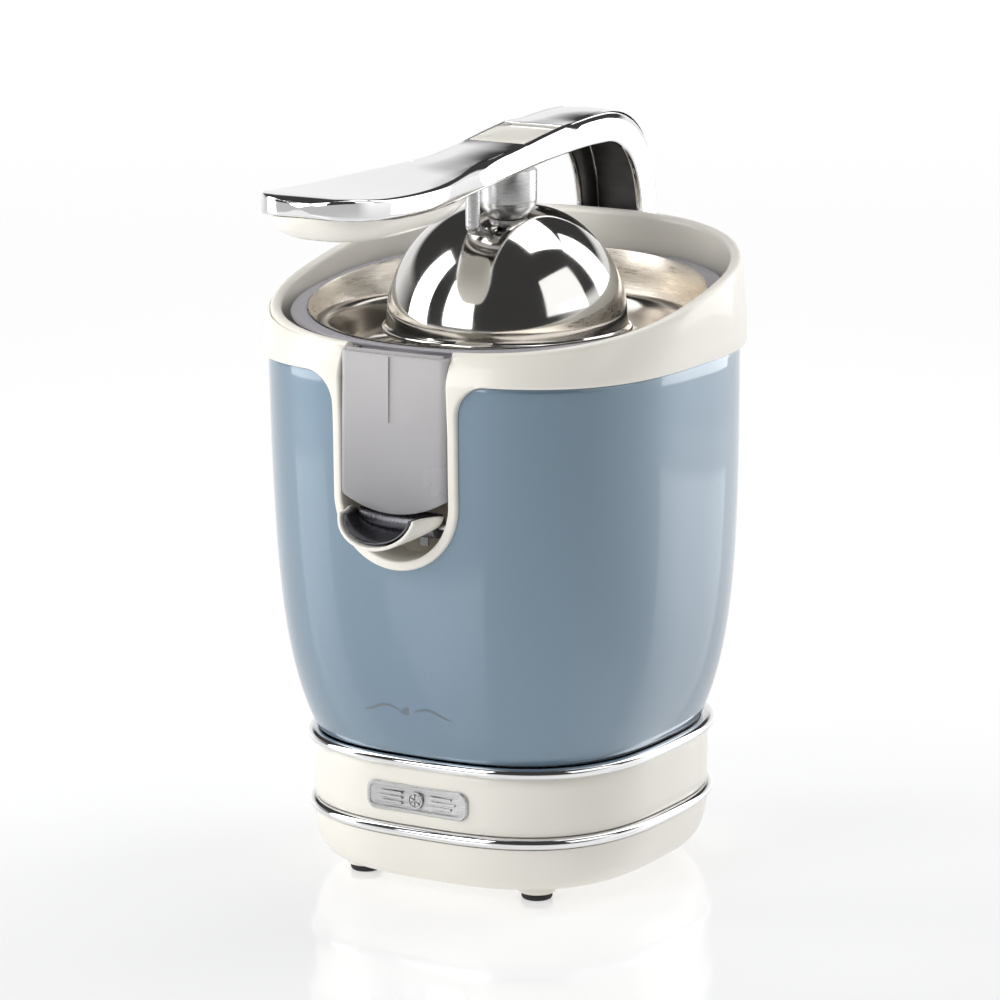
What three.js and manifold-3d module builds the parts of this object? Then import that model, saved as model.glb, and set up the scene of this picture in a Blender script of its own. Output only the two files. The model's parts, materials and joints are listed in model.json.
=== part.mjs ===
// Citrus press juicer with a lever arm. Millimetres, +Z up, front towards -Y.
// Everything is laid out around the reamer axis, then moved so the box is centred on the origin.
import * as THREE from 'three';
import { mergeVertices } from 'three/addons/utils/BufferGeometryUtils.js';
import Module from 'manifold-3d';

const wasm = await Module();
wasm.setup();

// ---- driving dimensions ----
const REAMER_Y = 27.4;          // reamer axis in the finished frame
const GAP = 0.3;                // clearance between neighbouring pieces
const BODY_LOW_Z = 60, BODY_TALL = 160;     // height range over which the plan changes
const POWER_LOW = 2.75, POWER_HIGH = 2.93;  // squareness of the rounded-square plan
const DEPTH_LOW = 1.03, DEPTH_HIGH = 0.985; // half-depth over half-width
const BODY_WALL = 2.5;
const LOOP = 32;                // points around each rounded-square loop

const FOOT_X = 41.3, FOOT_FRONT_Y = -46, FOOT_REAR_Y = 55, FOOT_R = 6.5, FOOT_H = 2.5;
const BAND_Y = 4.6, BAND_HALF = 75.3, BAND_POWER = 2.82;
const RING_LOW_Z = 25.7, RING_HIGH_Z = 55.1, RING_H = 4.8, RING_HALF = 78;
const COLLAR_LOW = { halfX: 91.2, halfY: 90.6, power: 2.93, y: -1.3, z: 219.5 };

// half-width and middle of the body at each height
const BODY_PROFILE = [
  [60.2, 73.8, 3.6], [67, 76.2, 2.6], [76, 78.9, 2.3], [90, 82, 2.6], [108, 84.7, 1.9],
  [130, 86.6, 1.4], [155, 88, 1], [185, 88.7, 0], [219.2, 89, -1.3],
];
const CREST = { halfX: 93.8, halfY: 86, power: 2.5, y: -1, z: 248.6, slope: 0.2 };

const FRAME_HALF = 29.4, FRAME_BOTTOM = 140.6, WINDOW_HALF = 24.5, WINDOW_BOTTOM = 145.4;
const PANEL_Y = -88.6, PANEL_BOTTOM = 165.6;
const FRAME_PROUD = 2;          // frame stands this far off the body
const POCKET_BACK = -69;

const DOME_R = 50, DOME_Z = 229.9, DOME_WALL = 1.6;
const STEM_R = 12.25, STEM_TOP = 293.4;
const PIN_Y = -27.5, PIN_R = 3;
const ARM_HALF = 16.2, LEG_INNER = 13.5;
const HINGE_Y = 94, HINGE_Z = 236, HINGE_PIN_R = 3;
const SPOUT_Y = -84, SPOUT_Z = 160.5, SPOUT_HALF = 16.5;

const MOTOR_Y = 6, IDLER_Y = 44, GEAR_MODULE = 2;
const OUTPUT_TEETH = 32, SMALL_TEETH = 12, BIG_TEETH = 28, PINION_TEETH = 10;

// ---- colours: [colour, roughness, metalness] ----
const CREAM = ['#e9e3d3', 0.42, 0], LACQUER = ['#9db6c6', 0.25, 0.1], CHROME = ['#d8dadc', 0.08, 1];
const STEEL = ['#b9b6b0', 0.25, 1], BRUSHED = ['#a9a9a8', 0.4, 1], CLEAR = ['#b4b3b8', 0.15, 0];
const RUBBER = ['#1b1b1c', 0.85, 0], DARK = ['#3a3b3d', 0.6, 0], BRASS = ['#b99a52', 0.35, 1];
const GEAR_WHITE = ['#e8e6df', 0.5, 0], ZINC = ['#9b9da0', 0.45, 1];

// ---- helpers ----
const group = new THREE.Group();
group.name = 'citrus_press_juicer';

function toSolid(geometry) {
  const bare = geometry.clone();
  bare.deleteAttribute('normal');
  bare.deleteAttribute('uv');
  const merged = mergeVertices(bare, 1e-4);
  return new wasm.Manifold(new wasm.Mesh({
    numProp: 3,
    vertProperties: new Float32Array(merged.attributes.position.array),
    triVerts: new Uint32Array(merged.index.array),
  }));
}

function toGeometry(solid) {
  const mesh = solid.getMesh();
  const geometry = new THREE.BufferGeometry();
  geometry.setAttribute('position', new THREE.BufferAttribute(mesh.vertProperties, 3));
  geometry.setIndex(new THREE.BufferAttribute(mesh.triVerts, 1));
  return geometry;
}

function addPart(name, shape, [color, roughness, metalness]) {
  const geometry = shape.isBufferGeometry ? shape.clone() : toGeometry(shape);
  geometry.translate(0, REAMER_Y, 0);
  geometry.computeVertexNormals();
  const mesh = new THREE.Mesh(geometry, new THREE.MeshStandardMaterial({ color, roughness, metalness }));
  mesh.name = name;
  group.add(mesh);
}

// rounded-square loop, counter-clockwise seen from above; z may depend on y
function loop(halfX, halfY, power, centreY, z, count = LOOP) {
  return Array.from({ length: count }, (_, i) => {
    const t = (i / count) * 2 * Math.PI;
    const c = Math.cos(t), s = Math.sin(t);
    const x = halfX * Math.sign(c) * Math.abs(c) ** (2 / power);
    const y = centreY + halfY * Math.sign(s) * Math.abs(s) ** (2 / power);
    return [x, y, typeof z === 'function' ? z(y) : z];
  });
}

// skin over a stack of loops; a ring closes on itself, otherwise both ends are capped
function loft(loops, ring = false) {
  const count = loops[0].length;
  const positions = loops.flat(2);
  const index = [];
  const levels = ring ? loops.length : loops.length - 1;
  for (let k = 0; k < levels; k++) {
    const a = k * count, b = ((k + 1) % loops.length) * count;
    for (let i = 0; i < count; i++) {
      const j = (i + 1) % count;
      index.push(a + i, a + j, b + j, a + i, b + j, b + i);
    }
  }
  if (!ring) {
    for (const [start, flip] of [[0, true], [(loops.length - 1) * count, false]]) {
      const centre = positions.length / 3;
      const cap = loops[start / count];
      positions.push(...[0, 1, 2].map((axis) => cap.reduce((sum, p) => sum + p[axis], 0) / count));
      for (let i = 0; i < count; i++) {
        const j = (i + 1) % count;
        index.push(...(flip ? [centre, start + j, start + i] : [centre, start + i, start + j]));
      }
    }
  }
  const geometry = new THREE.BufferGeometry();
  geometry.setAttribute('position', new THREE.Float32BufferAttribute(positions, 3));
  geometry.setIndex(index);
  return geometry;
}

// turned piece around Z through (x, y); profile is a list of [radius, z]
function turned(profile, segments = 32, x = 0, y = 0) {
  const points = profile.map(([r, z]) => new THREE.Vector2(r, z));
  const geometry = new THREE.LatheGeometry(points, segments);
  geometry.rotateX(Math.PI / 2);
  geometry.translate(x, y, 0);
  return geometry;
}

const rod = (r, z0, z1, segments = 14, x = 0, y = 0) =>
  turned([[0, z0], [r, z0], [r, z1], [0, z1]], segments, x, y);
const tube = (rIn, rOut, z0, z1, segments = 16, x = 0, y = 0) =>
  turned([[rIn, z0], [rOut, z0], [rOut, z1], [rIn, z1], [rIn, z0]], segments, x, y);

function box(x0, x1, y0, y1, z0, z1) {
  const geometry = new THREE.BoxGeometry(x1 - x0, y1 - y0, z1 - z0);
  geometry.translate((x0 + x1) / 2, (y0 + y1) / 2, (z0 + z1) / 2);
  return geometry;
}

// rod along X
function crossRod(r, x0, x1, y, z, segments = 14) {
  const geometry = rod(r, x0, x1, segments);
  geometry.rotateY(Math.PI / 2);
  geometry.translate(0, y, z);
  return geometry;
}

// rod and turned piece along Y
function crossRodY(r, y0, y1, x, z, segments = 14) {
  const geometry = rod(r, y0, y1, segments);
  geometry.rotateX(-Math.PI / 2);
  geometry.translate(x, 0, z);
  return geometry;
}
function turnedAlongY(profile, x, z, segments = 14) {
  const geometry = turned(profile, segments);
  geometry.rotateX(-Math.PI / 2);
  geometry.translate(x, 0, z);
  return geometry;
}

// flat outline in (x, z) pushed along Y from y0 to y1
function frontPlate(shape, y0, y1, curveSegments = 8) {
  const geometry = new THREE.ExtrudeGeometry(shape, { depth: y1 - y0, bevelEnabled: false, curveSegments });
  geometry.rotateX(Math.PI / 2);
  geometry.translate(0, y1, 0);
  return geometry;
}

// flat outline in (y, z) pushed along X from -half to +half
function sidePlate(shape, half, curveSegments = 8) {
  const geometry = new THREE.ExtrudeGeometry(shape, { depth: 2 * half, bevelEnabled: false, curveSegments });
  geometry.rotateX(Math.PI / 2);
  geometry.rotateZ(Math.PI / 2);
  geometry.translate(-half, 0, 0);
  return geometry;
}

const join = (first, ...rest) => rest.reduce((sum, g) => sum.add(asSolid(g)), asSolid(first));
const cut = (first, ...rest) => rest.reduce((sum, g) => sum.subtract(asSolid(g)), asSolid(first));
function asSolid(shape) { return shape.isBufferGeometry ? toSolid(shape) : shape; }

// ---- body section at any height ----
function bodyAt(z, offset = 0) {
  let k = BODY_PROFILE.findIndex((row) => row[0] >= z);
  k = Math.max(1, k < 0 ? BODY_PROFILE.length - 1 : k);
  const [z0, a0, y0] = BODY_PROFILE[k - 1], [z1, a1, y1] = BODY_PROFILE[k];
  const t = (z - z0) / (z1 - z0);
  const half = a0 + (a1 - a0) * t, up = (z - BODY_LOW_Z) / BODY_TALL;
  const depth = DEPTH_LOW + (DEPTH_HIGH - DEPTH_LOW) * up, power = POWER_LOW + (POWER_HIGH - POWER_LOW) * up;
  return loop(half + offset, half * depth + offset, power, y0 + (y1 - y0) * t, z);
}

// ---- collar loops: t = 0 is the flat bottom edge, t = 1 the tilted crest ----
function collarAt(t, inset = 0, lower = 0) {
  const mix = (a, b) => a + (b - a) * t;
  const halfX = mix(COLLAR_LOW.halfX, CREST.halfX), halfY = mix(COLLAR_LOW.halfY, CREST.halfY);
  return loop(halfX - inset, halfY - inset, mix(COLLAR_LOW.power, CREST.power), mix(COLLAR_LOW.y, CREST.y),
    (y) => mix(COLLAR_LOW.z, CREST.z + CREST.slope * y) - lower);
}

// =============================== base ===============================
const bandLoop = (half, z) => loop(half, half + 2.3, BAND_POWER, BAND_Y, z);
let pan = asSolid(loft([
  bandLoop(62, 6), bandLoop(68.5, 7.2), bandLoop(72.6, 11), bandLoop(74.6, 17), bandLoop(75.2, 25.4),
]));
pan = cut(pan, loft([bandLoop(66, 9), bandLoop(71.6, 18), bandLoop(72.2, 26)]));
const screwSpots = [[-44, -36], [44, -36], [-44, 46], [44, 46]];
const footSpots = [[-FOOT_X, FOOT_FRONT_Y], [FOOT_X, FOOT_FRONT_Y], [-FOOT_X, FOOT_REAR_Y], [FOOT_X, FOOT_REAR_Y]];
for (const [x, y] of footSpots) {
  pan = join(pan, turned([[0, 2.8], [7.6, 2.8], [8.6, 9.2], [0, 9.2]], 14, x, y));
  pan = cut(pan, rod(2.8, 2, 7, 8, x, y));
}
for (const [x, y] of screwSpots) {
  pan = join(pan, rod(6, 8, 19, 10, x, y));
  pan = cut(pan, rod(4, 5, 14, 10, x, y), rod(2.3, 13, 20, 8, x, y));
}
addPart('base_pan', pan, CREAM);

const footNames = ['foot_front_left', 'foot_front_right', 'foot_rear_left', 'foot_rear_right'];
footSpots.forEach(([x, y], i) => addPart(footNames[i],
  turned([[0, 0], [FOOT_R - 0.6, 0], [FOOT_R, 0.7], [FOOT_R, FOOT_H], [2.5, FOOT_H], [2.5, 6.6], [0, 6.6]], 12, x, y), RUBBER));

let band = asSolid(loft([
  bandLoop(72.4, RING_LOW_Z), bandLoop(72.4, 30.6), bandLoop(BAND_HALF, 31), bandLoop(BAND_HALF, 54.7),
  bandLoop(72.4, 55.1), bandLoop(72.4, 59.9), bandLoop(69.6, 59.9), bandLoop(69.6, RING_LOW_Z),
], true));
band = cut(band, crossRodY(5.3, 70, 92, 0, 42));
addPart('base_band', band, CREAM);

for (const [name, z, half] of [['ring_lower', RING_LOW_Z, RING_HALF - 0.6], ['ring_upper', RING_HIGH_Z, RING_HALF]]) {
  addPart(name, loft([
    bandLoop(72.8, z + 0.15), bandLoop(half - 1.5, z + 0.15), bandLoop(half, z + RING_H / 2),
    bandLoop(half - 1.5, z + RING_H - 0.15), bandLoop(72.8, z + RING_H - 0.15),
  ], true), CHROME);
}

function roundedRectangle(halfWidth, z0, z1, r) {
  const shape = new THREE.Shape();
  shape.moveTo(-halfWidth + r, z0);
  shape.lineTo(halfWidth - r, z0);
  shape.absarc(halfWidth - r, z0 + r, r, -Math.PI / 2, 0);
  shape.absarc(halfWidth - r, z1 - r, r, 0, Math.PI / 2);
  shape.absarc(-halfWidth + r, z1 - r, r, Math.PI / 2, Math.PI);
  shape.absarc(-halfWidth + r, z0 + r, r, Math.PI, 1.5 * Math.PI);
  return shape;
}
const badgeSkin = cut(
  loft([bandLoop(BAND_HALF + 1.7, 30), bandLoop(BAND_HALF + 1.7, 56)]),
  loft([bandLoop(BAND_HALF + GAP, 29), bandLoop(BAND_HALF + GAP, 57)]),
);
const badge = badgeSkin.intersect(toSolid(frontPlate(roundedRectangle(24, 36, 48, 4), -90, -60, 4)));
addPart('badge_plate', badge, BRUSHED);

addPart('cord_gland', turnedAlongY([[0, 70], [4.9, 70], [4.9, 82.7], [7.5, 83.6], [6, 90], [0, 90]], 0, 42), RUBBER);

// =============================== body and collar ===============================
// outline of the front frame: a U with a round bottom that flares into the collar
function frameShape(half, bottom, grow = 0) {
  const r = half + grow, centreZ = bottom + half, flareZ = 206.5, flareR = 12.5 - grow;
  const shape = new THREE.Shape();
  shape.moveTo(-r, centreZ);
  shape.absarc(0, centreZ, r, Math.PI, 2 * Math.PI);
  shape.lineTo(r, flareZ);
  shape.absarc(r + flareR, flareZ, flareR, Math.PI, Math.PI / 2, true);
  shape.lineTo(r + flareR, 260);
  shape.lineTo(-r - flareR, 260);
  shape.lineTo(-r - flareR, flareZ + flareR);
  shape.absarc(-r - flareR, flareZ, flareR, Math.PI / 2, 0, true);
  return shape;
}
function slotShape(half, bottom, top) {
  const shape = new THREE.Shape();
  shape.moveTo(-half, bottom + half);
  shape.absarc(0, bottom + half, half, Math.PI, 2 * Math.PI);
  shape.lineTo(half, top);
  shape.lineTo(-half, top);
  return shape;
}

const outerBody = BODY_PROFILE.map(([z]) => bodyAt(z));
const innerBody = [219.2, 155, 108, 76, 60.2].map((z) => bodyAt(z, -BODY_WALL));
let bodyShell = asSolid(loft([...outerBody, ...innerBody], true));
bodyShell = cut(bodyShell, frontPlate(frameShape(FRAME_HALF, FRAME_BOTTOM, GAP), -120, -60));
addPart('body_shell', bodyShell, LACQUER);

let collar = asSolid(loft([
  collarAt(0), collarAt(0.5), collarAt(1, 0, 2.2), collarAt(1, 0.5, 0.8), collarAt(1, 1.7), collarAt(1, 3.3, 0.1),
  collarAt(1, 4.6, 1.2), collarAt(0.5, 5.6), collarAt(0, 5.6),
], true));
// skirt that plugs into the body shell
collar = join(collar, loft([bodyAt(211, -2.8), bodyAt(222, -2.8), bodyAt(222, -5), bodyAt(211, -5)], true));
const frameSkin = toSolid(loft([
  ...[134, 155, 185, 205].map((z) => bodyAt(z, FRAME_PROUD)), collarAt(0), collarAt(0.5), collarAt(1, 0, 2.2),
]));
let frameBlock = toSolid(frontPlate(frameShape(FRAME_HALF, FRAME_BOTTOM), -120, POCKET_BACK + 2.6)).intersect(frameSkin);
frameBlock = cut(frameBlock, rod(82.2, 199.5, 300, 48), box(-60, 60, -70, -40, 199.5, 300));
frameBlock = cut(frameBlock, loft([collarAt(0, 5.6), collarAt(0.5, 5.6), collarAt(1.1, 5.2)]));
collar = join(collar, frameBlock);
collar = cut(collar, frontPlate(slotShape(WINDOW_HALF, WINDOW_BOTTOM, 290), -120, POCKET_BACK));
// fork at the back that holds the lever hinge
for (const side of [-1, 1]) {
  const x0 = side > 0 ? 17 : -23.5;
  collar = join(collar, crossRod(8.8, x0, x0 + 6.5, HINGE_Y, HINGE_Z, 24), box(x0, x0 + 6.5, 83, HINGE_Y, 222, 244.8),
    box(x0, x0 + 6.5, HINGE_Y - 1, HINGE_Y + 4, 223, 236));
}
collar = cut(collar, box(-16.8, 16.8, 84.8, 120, 221, 300),
  crossRod(HINGE_PIN_R + 0.05, -40, 40, HINGE_Y, HINGE_Z));
collar = cut(collar, crossRod(1.8, -26, 26, SPOUT_Y, SPOUT_Z, 10));
addPart('collar', collar, CREAM);

// =============================== juice path ===============================
const flangeTop = (y) => 240 + 0.11 * y;
const flangeLoop = (halfX, halfY, power, z) => loop(halfX, halfY, power, 0, z, 32);
let collector = asSolid(loft([
  flangeLoop(80, 79.9, 2, 201), flangeLoop(80, 79.9, 2, 226), flangeLoop(84, 80, 2.05, (y) => flangeTop(y) - 2),
  flangeLoop(86.6, 80, 2.4, (y) => flangeTop(y) - 1.6), flangeLoop(86.6, 80, 2.4, flangeTop),
  flangeLoop(82.6, 78.9, 2.05, flangeTop), flangeLoop(79.4, 78.9, 2, 229), flangeLoop(76.5, 76.5, 2, 228.6),
  flangeLoop(76.5, 76.5, 2, 203.4),
]));
collector = join(collector, rod(16, 201, 223, 32));
const chute = cut(box(-24.1, 24.1, PANEL_Y, -71.5, 160, 229.2), box(-21, 21, PANEL_Y + 2.6, -60, 150, 226.6));
const panelArc = cut(box(-40, 40, -120, -60, 130, 190), crossRodY(47, -130, -50, 0, PANEL_BOTTOM + 47, 64));
collector = join(collector, cut(chute, panelArc, rod(78, 204, 240, 48)));
collector = cut(collector, box(-18, 18, -84.5, -74, 203.4, 212), rod(13.6, 190, 230, 32),
  box(-25, 25, -120, -60, 229.2, 245));
addPart('juice_collector', collector, CLEAR);

let strainer = asSolid(turned([
  [78, 229.3], [78, 230.5], [74.6, 230.5], [72, 229], [70, 216], [64, 213], [18.6, 214.4], [18.6, 225.4], [17.2, 225.4],
  [17.2, 213.2], [63.5, 211.8], [71.2, 215], [73.4, 229.3], [78, 229.3],
], 30));
for (let k = 0; k < 10; k++) {
  const slot = box(30, 60, -1.1, 1.1, 208, 218).rotateZ((k / 10) * 2 * Math.PI);
  strainer = cut(strainer, slot);
}
addPart('strainer', strainer, STEEL);

// reamer cone: ribbed outside, hollow below, with a boss for the shaft
const coneLoop = (r, z, rib, count = 32) => Array.from({ length: count }, (_, i) => {
  const t = (i / count) * 2 * Math.PI;
  const radius = r * (1 + rib * Math.cos(8 * t));
  return [radius * Math.cos(t), radius * Math.sin(t), z];
});
let cone = asSolid(loft([
  coneLoop(38, 217, 0), coneLoop(38, 218.5, 0), coneLoop(33, 221, 0.05), coneLoop(29, 232, 0.08), coneLoop(22, 246, 0.09),
  coneLoop(13, 258, 0.08), coneLoop(5, 265, 0.04), coneLoop(1.5, 267, 0),
]));
cone = cut(cone, loft([coneLoop(30.5, 216, 0, 16), coneLoop(26.3, 229, 0, 16), coneLoop(15.5, 247, 0, 16), coneLoop(8.2, 256, 0, 16)]));
cone = join(cone, rod(8, 226, 258, 24));
cone = cut(cone, rod(4.3, 220, 252.3, 20));
addPart('reamer_cone', cone, STEEL);

// =============================== drive ===============================
const chassisLoop = (half, z) => loop(half, half - 0.3, 2.6, -0.5, z);
let chassis = asSolid(loft([chassisLoop(83, 193), chassisLoop(83, 196.6)]));
chassis = join(chassis, rod(13, 184, 213.4, 20));
for (const [x, y] of screwSpots) chassis = join(chassis, rod(5, 19.3, 194, 10, x, y));
chassis = cut(chassis, rod(8.4, 188, 214, 20), rod(5, 180, 190, 12), frontPlate(slotShape(31, 138, 250), -100, -64),
  rod(3.3, 190, 195.4, 16, 0, IDLER_Y));
for (const [x, y] of screwSpots) chassis = cut(chassis, rod(2.3, 10, 32, 8, x, y));
addPart('chassis', chassis, ZINC);

const screwNames = ['base_screw_front_left', 'base_screw_front_right', 'base_screw_rear_left', 'base_screw_rear_right'];
screwSpots.forEach(([x, y], i) => addPart(screwNames[i],
  turned([[0, 11], [3.6, 11], [3.6, 13.7], [2, 13.7], [2, 31], [0, 31]], 8, x, y), ZINC));

const plateLoop = (z) => loop(58, 56, 3.4, 8, z, 24);
let motorPlate = asSolid(loft([plateLoop(152), plateLoop(155)]));
motorPlate = join(motorPlate, rod(5, 154, 157.4, 16, 0, IDLER_Y));
motorPlate = cut(motorPlate, rod(5, 150, 156, 20, 0, MOTOR_Y), rod(3, 153, 158, 16, 0, IDLER_Y));
for (const [x, y] of screwSpots) motorPlate = cut(motorPlate, rod(5.4, 150, 157, 10, x, y));
addPart('motor_plate', motorPlate, ZINC);

let motorCan = asSolid(turned([[0, 86], [26, 86], [29, 90], [29, 148], [27, 151.7], [0, 151.7]], 24, 0, MOTOR_Y));
motorCan = cut(motorCan, rod(25.5, 92, 147, 24, 0, MOTOR_Y), rod(4, 140, 160, 12, 0, MOTOR_Y), rod(2.9, 88, 95, 10, 0, MOTOR_Y));
for (let k = 0; k < 4; k++) {
  motorCan = cut(motorCan, box(-3, 3, 20, 34, 100, 132).rotateZ((k / 4) * 2 * Math.PI).translate(0, MOTOR_Y, 0));
}
addPart('motor_can', motorCan, ZINC);

addPart('rotor', turned([
  [0, 89], [2.5, 89], [2.5, 98], [20, 98], [22, 100], [22, 138], [20, 140], [2.5, 140], [2.5, 169], [0, 169],
], 16, 0, MOTOR_Y), BRASS);

// spur gear: trapezoid teeth around a disc; phase turns one tooth to +X when zero
function gear(teeth, z0, z1, bore, x, y, phase) {
  const pitch = (teeth * GEAR_MODULE) / 2;
  const root = pitch - 1.15 * GEAR_MODULE, tip = pitch + 0.75 * GEAR_MODULE;
  const step = (2 * Math.PI) / teeth;
  const halfRoot = 0.31 * step, halfTip = (0.13 * step * pitch) / tip;
  const shape = new THREE.Shape();
  for (let k = 0; k < teeth; k++) {
    const middle = k * step + phase;
    for (const [radius, turn] of [[root, -halfRoot], [tip, -halfTip], [tip, halfTip], [root, halfRoot]]) {
      const px = radius * Math.cos(middle + turn), py = radius * Math.sin(middle + turn);
      if (k === 0 && turn === -halfRoot) shape.moveTo(px, py); else shape.lineTo(px, py);
    }
  }
  const hole = new THREE.Path();
  hole.absarc(0, 0, bore, 0, 2 * Math.PI, true);
  shape.holes.push(hole);
  const geometry = new THREE.ExtrudeGeometry(shape, { depth: z1 - z0, bevelEnabled: false, curveSegments: 6 });
  geometry.translate(x, y, z0);
  return geometry;
}
const UP = Math.PI / 2;
addPart('motor_pinion', gear(PINION_TEETH, 158.4, 168.4, 2.8, 0, MOTOR_Y, UP), BRASS);
addPart('idler_gear', join(
  gear(BIG_TEETH, 159.4, 167.4, 3.3, 0, IDLER_Y, -UP + Math.PI / BIG_TEETH),
  gear(SMALL_TEETH, 167, 184.6, 3.3, 0, IDLER_Y, -UP + Math.PI / SMALL_TEETH),
), GEAR_WHITE);
addPart('idler_axle', rod(3, 153.4, 195, 16, 0, IDLER_Y), BRUSHED);
addPart('output_gear', gear(OUTPUT_TEETH, 173, 181, 4.3, 0, 0, UP), GEAR_WHITE);
addPart('drive_shaft', turned([
  [0, 172], [4, 172], [4, 205.4], [6, 205.4], [6, 207.2], [4, 207.2], [4, 251], [0, 252],
], 14), BRUSHED);
addPart('thrust_sleeve', tube(4.25, 7.9, 196.6, 205.1), BRASS);
addPart('shaft_seal', tube(4.3, 8, 209.2, 213), RUBBER);

class Helix extends THREE.Curve {
  constructor(radius, z0, z1, turns, x = 0, y = 0) { super(); Object.assign(this, { radius, z0, z1, turns, x, y }); }
  getPoint(t, target = new THREE.Vector3()) {
    const angle = t * this.turns * 2 * Math.PI;
    return target.set(this.x + this.radius * Math.cos(angle), this.y + this.radius * Math.sin(angle),
      this.z0 + (this.z1 - this.z0) * t);
  }
}
function coilSpring(radius, wire, z0, z1, turns, x = 0, y = 0) {
  const section = new THREE.Shape();
  section.absarc(0, 0, wire, 0, 2 * Math.PI);
  return new THREE.ExtrudeGeometry(section, {
    steps: Math.round(turns * 9), bevelEnabled: false, curveSegments: 2,
    extrudePath: new Helix(radius, z0 + wire, z1 - wire, turns, x, y),
  });
}
addPart('thrust_spring', coilSpring(6.4, 0.7, 188.3, 196.3, 3.5), BRUSHED);

let switchBody = asSolid(box(-7, 7, -22, -10, 155.3, 169));
switchBody = cut(switchBody, rod(2.4, 163.5, 172, 10, 0, -16));
addPart('start_switch', switchBody, DARK);
addPart('switch_plunger', turned([[0, 166], [2, 166], [2, 172], [1.2, 172.7], [0, 172.7]], 10, 0, -16), BRASS);

// =============================== spout ===============================
// trough section: a deep round-bottomed U, open at the top
function troughShape(half, depth, top) {
  const shape = new THREE.Shape();
  shape.moveTo(-half, top);
  for (let k = 1; k < 16; k++) {
    const t = Math.PI + (k / 16) * Math.PI;
    shape.lineTo(half * Math.cos(t), top + depth * Math.sin(t));
  }
  shape.lineTo(half, top);
  return shape;
}
const lipCut = box(-30, 30, -130, -104.5, 140, 180).translate(0, 104.5, -160).rotateX(0.32).translate(0, -104.5, 160);
const LIP_TOP = 166;
let spout = cut(frontPlate(troughShape(SPOUT_HALF, 11.4, LIP_TOP), -115, -86), lipCut,
  frontPlate(troughShape(SPOUT_HALF - 1.8, 9.6, LIP_TOP + 0.05), -118, -82));
spout = join(spout, cut(crossRod(5.2, -18.6, 18.6, SPOUT_Y, SPOUT_Z, 18), box(-14.7, 14.7, -100, SPOUT_Y + 0, 160, 180)),
  cut(frontPlate(troughShape(SPOUT_HALF, 11.4, LIP_TOP), -87, SPOUT_Y),
    frontPlate(troughShape(SPOUT_HALF - 1.8, 9.6, LIP_TOP + 0.05), -90, SPOUT_Y + 10), box(-30, 30, -100, -70, 163.5, 180)));
spout = cut(spout, crossRod(1.8, -30, 30, SPOUT_Y, SPOUT_Z));
addPart('spout_trough', spout, CREAM);
const lining = cut(frontPlate(troughShape(SPOUT_HALF - 2.1, 9.3, LIP_TOP - 0.2), -114, -89.6), lipCut,
  frontPlate(troughShape(SPOUT_HALF - 2.9, 8.5, LIP_TOP - 0.1), -118, -80));
addPart('spout_lining', lining, BRUSHED);
addPart('spout_pin', crossRod(1.6, -25.4, 25.4, SPOUT_Y, SPOUT_Z, 10), BRUSHED);

// =============================== lever ===============================
const arm = new THREE.Shape();
arm.moveTo(-60, 290.2);
arm.lineTo(-44, 290.8);
arm.lineTo(-20, 293.3);
arm.lineTo(5, 295.9);
arm.lineTo(57, 297.4);
arm.bezierCurveTo(70, 296.6, 84.6, 286, 85.4, 262);
arm.lineTo(85.4, HINGE_Z);
arm.absarc(HINGE_Y, HINGE_Z, 8.7, Math.PI, 2 * Math.PI);
arm.lineTo(102.8, 262);
arm.bezierCurveTo(102.2, 284, 93, 308, 61.5, 310.9);
arm.lineTo(49, 311.6);
arm.lineTo(22, 309);
arm.lineTo(-8, 305.2);
arm.lineTo(-44, 300.9);
arm.lineTo(-60, 299);
let lever = asSolid(sidePlate(arm, ARM_HALF));
// hollow of the rear leg, open towards the front
const hollow = new THREE.Shape();
hollow.moveTo(50, 292);
hollow.lineTo(57, 299.6);
hollow.bezierCurveTo(80, 300.5, 98.6, 284, 99.4, 262);
hollow.lineTo(99.4, 220);
hollow.lineTo(80, 220);
hollow.lineTo(80, 270);
lever = cut(lever, sidePlate(hollow, LEG_INNER));

// hand rest: [y, half-width, bottom z, top z]
const HAND_REST = [
  [-30, 15.6, 292.6, 301.8], [-52, 17.4, 290.6, 299.8], [-64, 20.2, 290.4, 298.8], [-78, 24, 290.6, 298.4],
  [-92, 26, 290.2, 298.5], [-116, 26.8, 290, 298.6], [-134, 26.4, 290.8, 299], [-145, 24.4, 292, 299.6],
  [-152, 20.4, 293.2, 300], [-156, 14.6, 294.4, 299.8], [-157.6, 7, 295.6, 299.2],
];
function barLoop(y, half, low, high, power = 3.2, count = 20) {
  return Array.from({ length: count }, (_, i) => {
    const t = (i / count) * 2 * Math.PI;
    const c = Math.cos(t), s = Math.sin(t);
    return [half * Math.sign(c) * Math.abs(c) ** (2 / power), y,
      (low + high) / 2 + ((high - low) / 2) * Math.sign(s) * Math.abs(s) ** (2 / power)];
  });
}
lever = join(lever, loft(HAND_REST.map(([y, half, low, high]) => barLoop(y, half, low, high))));
lever = cut(lever,
  rod(8.3, 290, 300.3, 24),                                   // seat of the dome stem
  rod(PIN_R + 0.15, 285, 300.6, 16, 0, PIN_Y),                // bore of the lock pin
  box(-13.3, 13.3, -9.5, 21.3, 301.2, 330),                   // pocket of the release button
  crossRod(HINGE_PIN_R + 0.15, -30, 30, HINGE_Y, HINGE_Z));
addPart('lever_arm', lever, CHROME);

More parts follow.
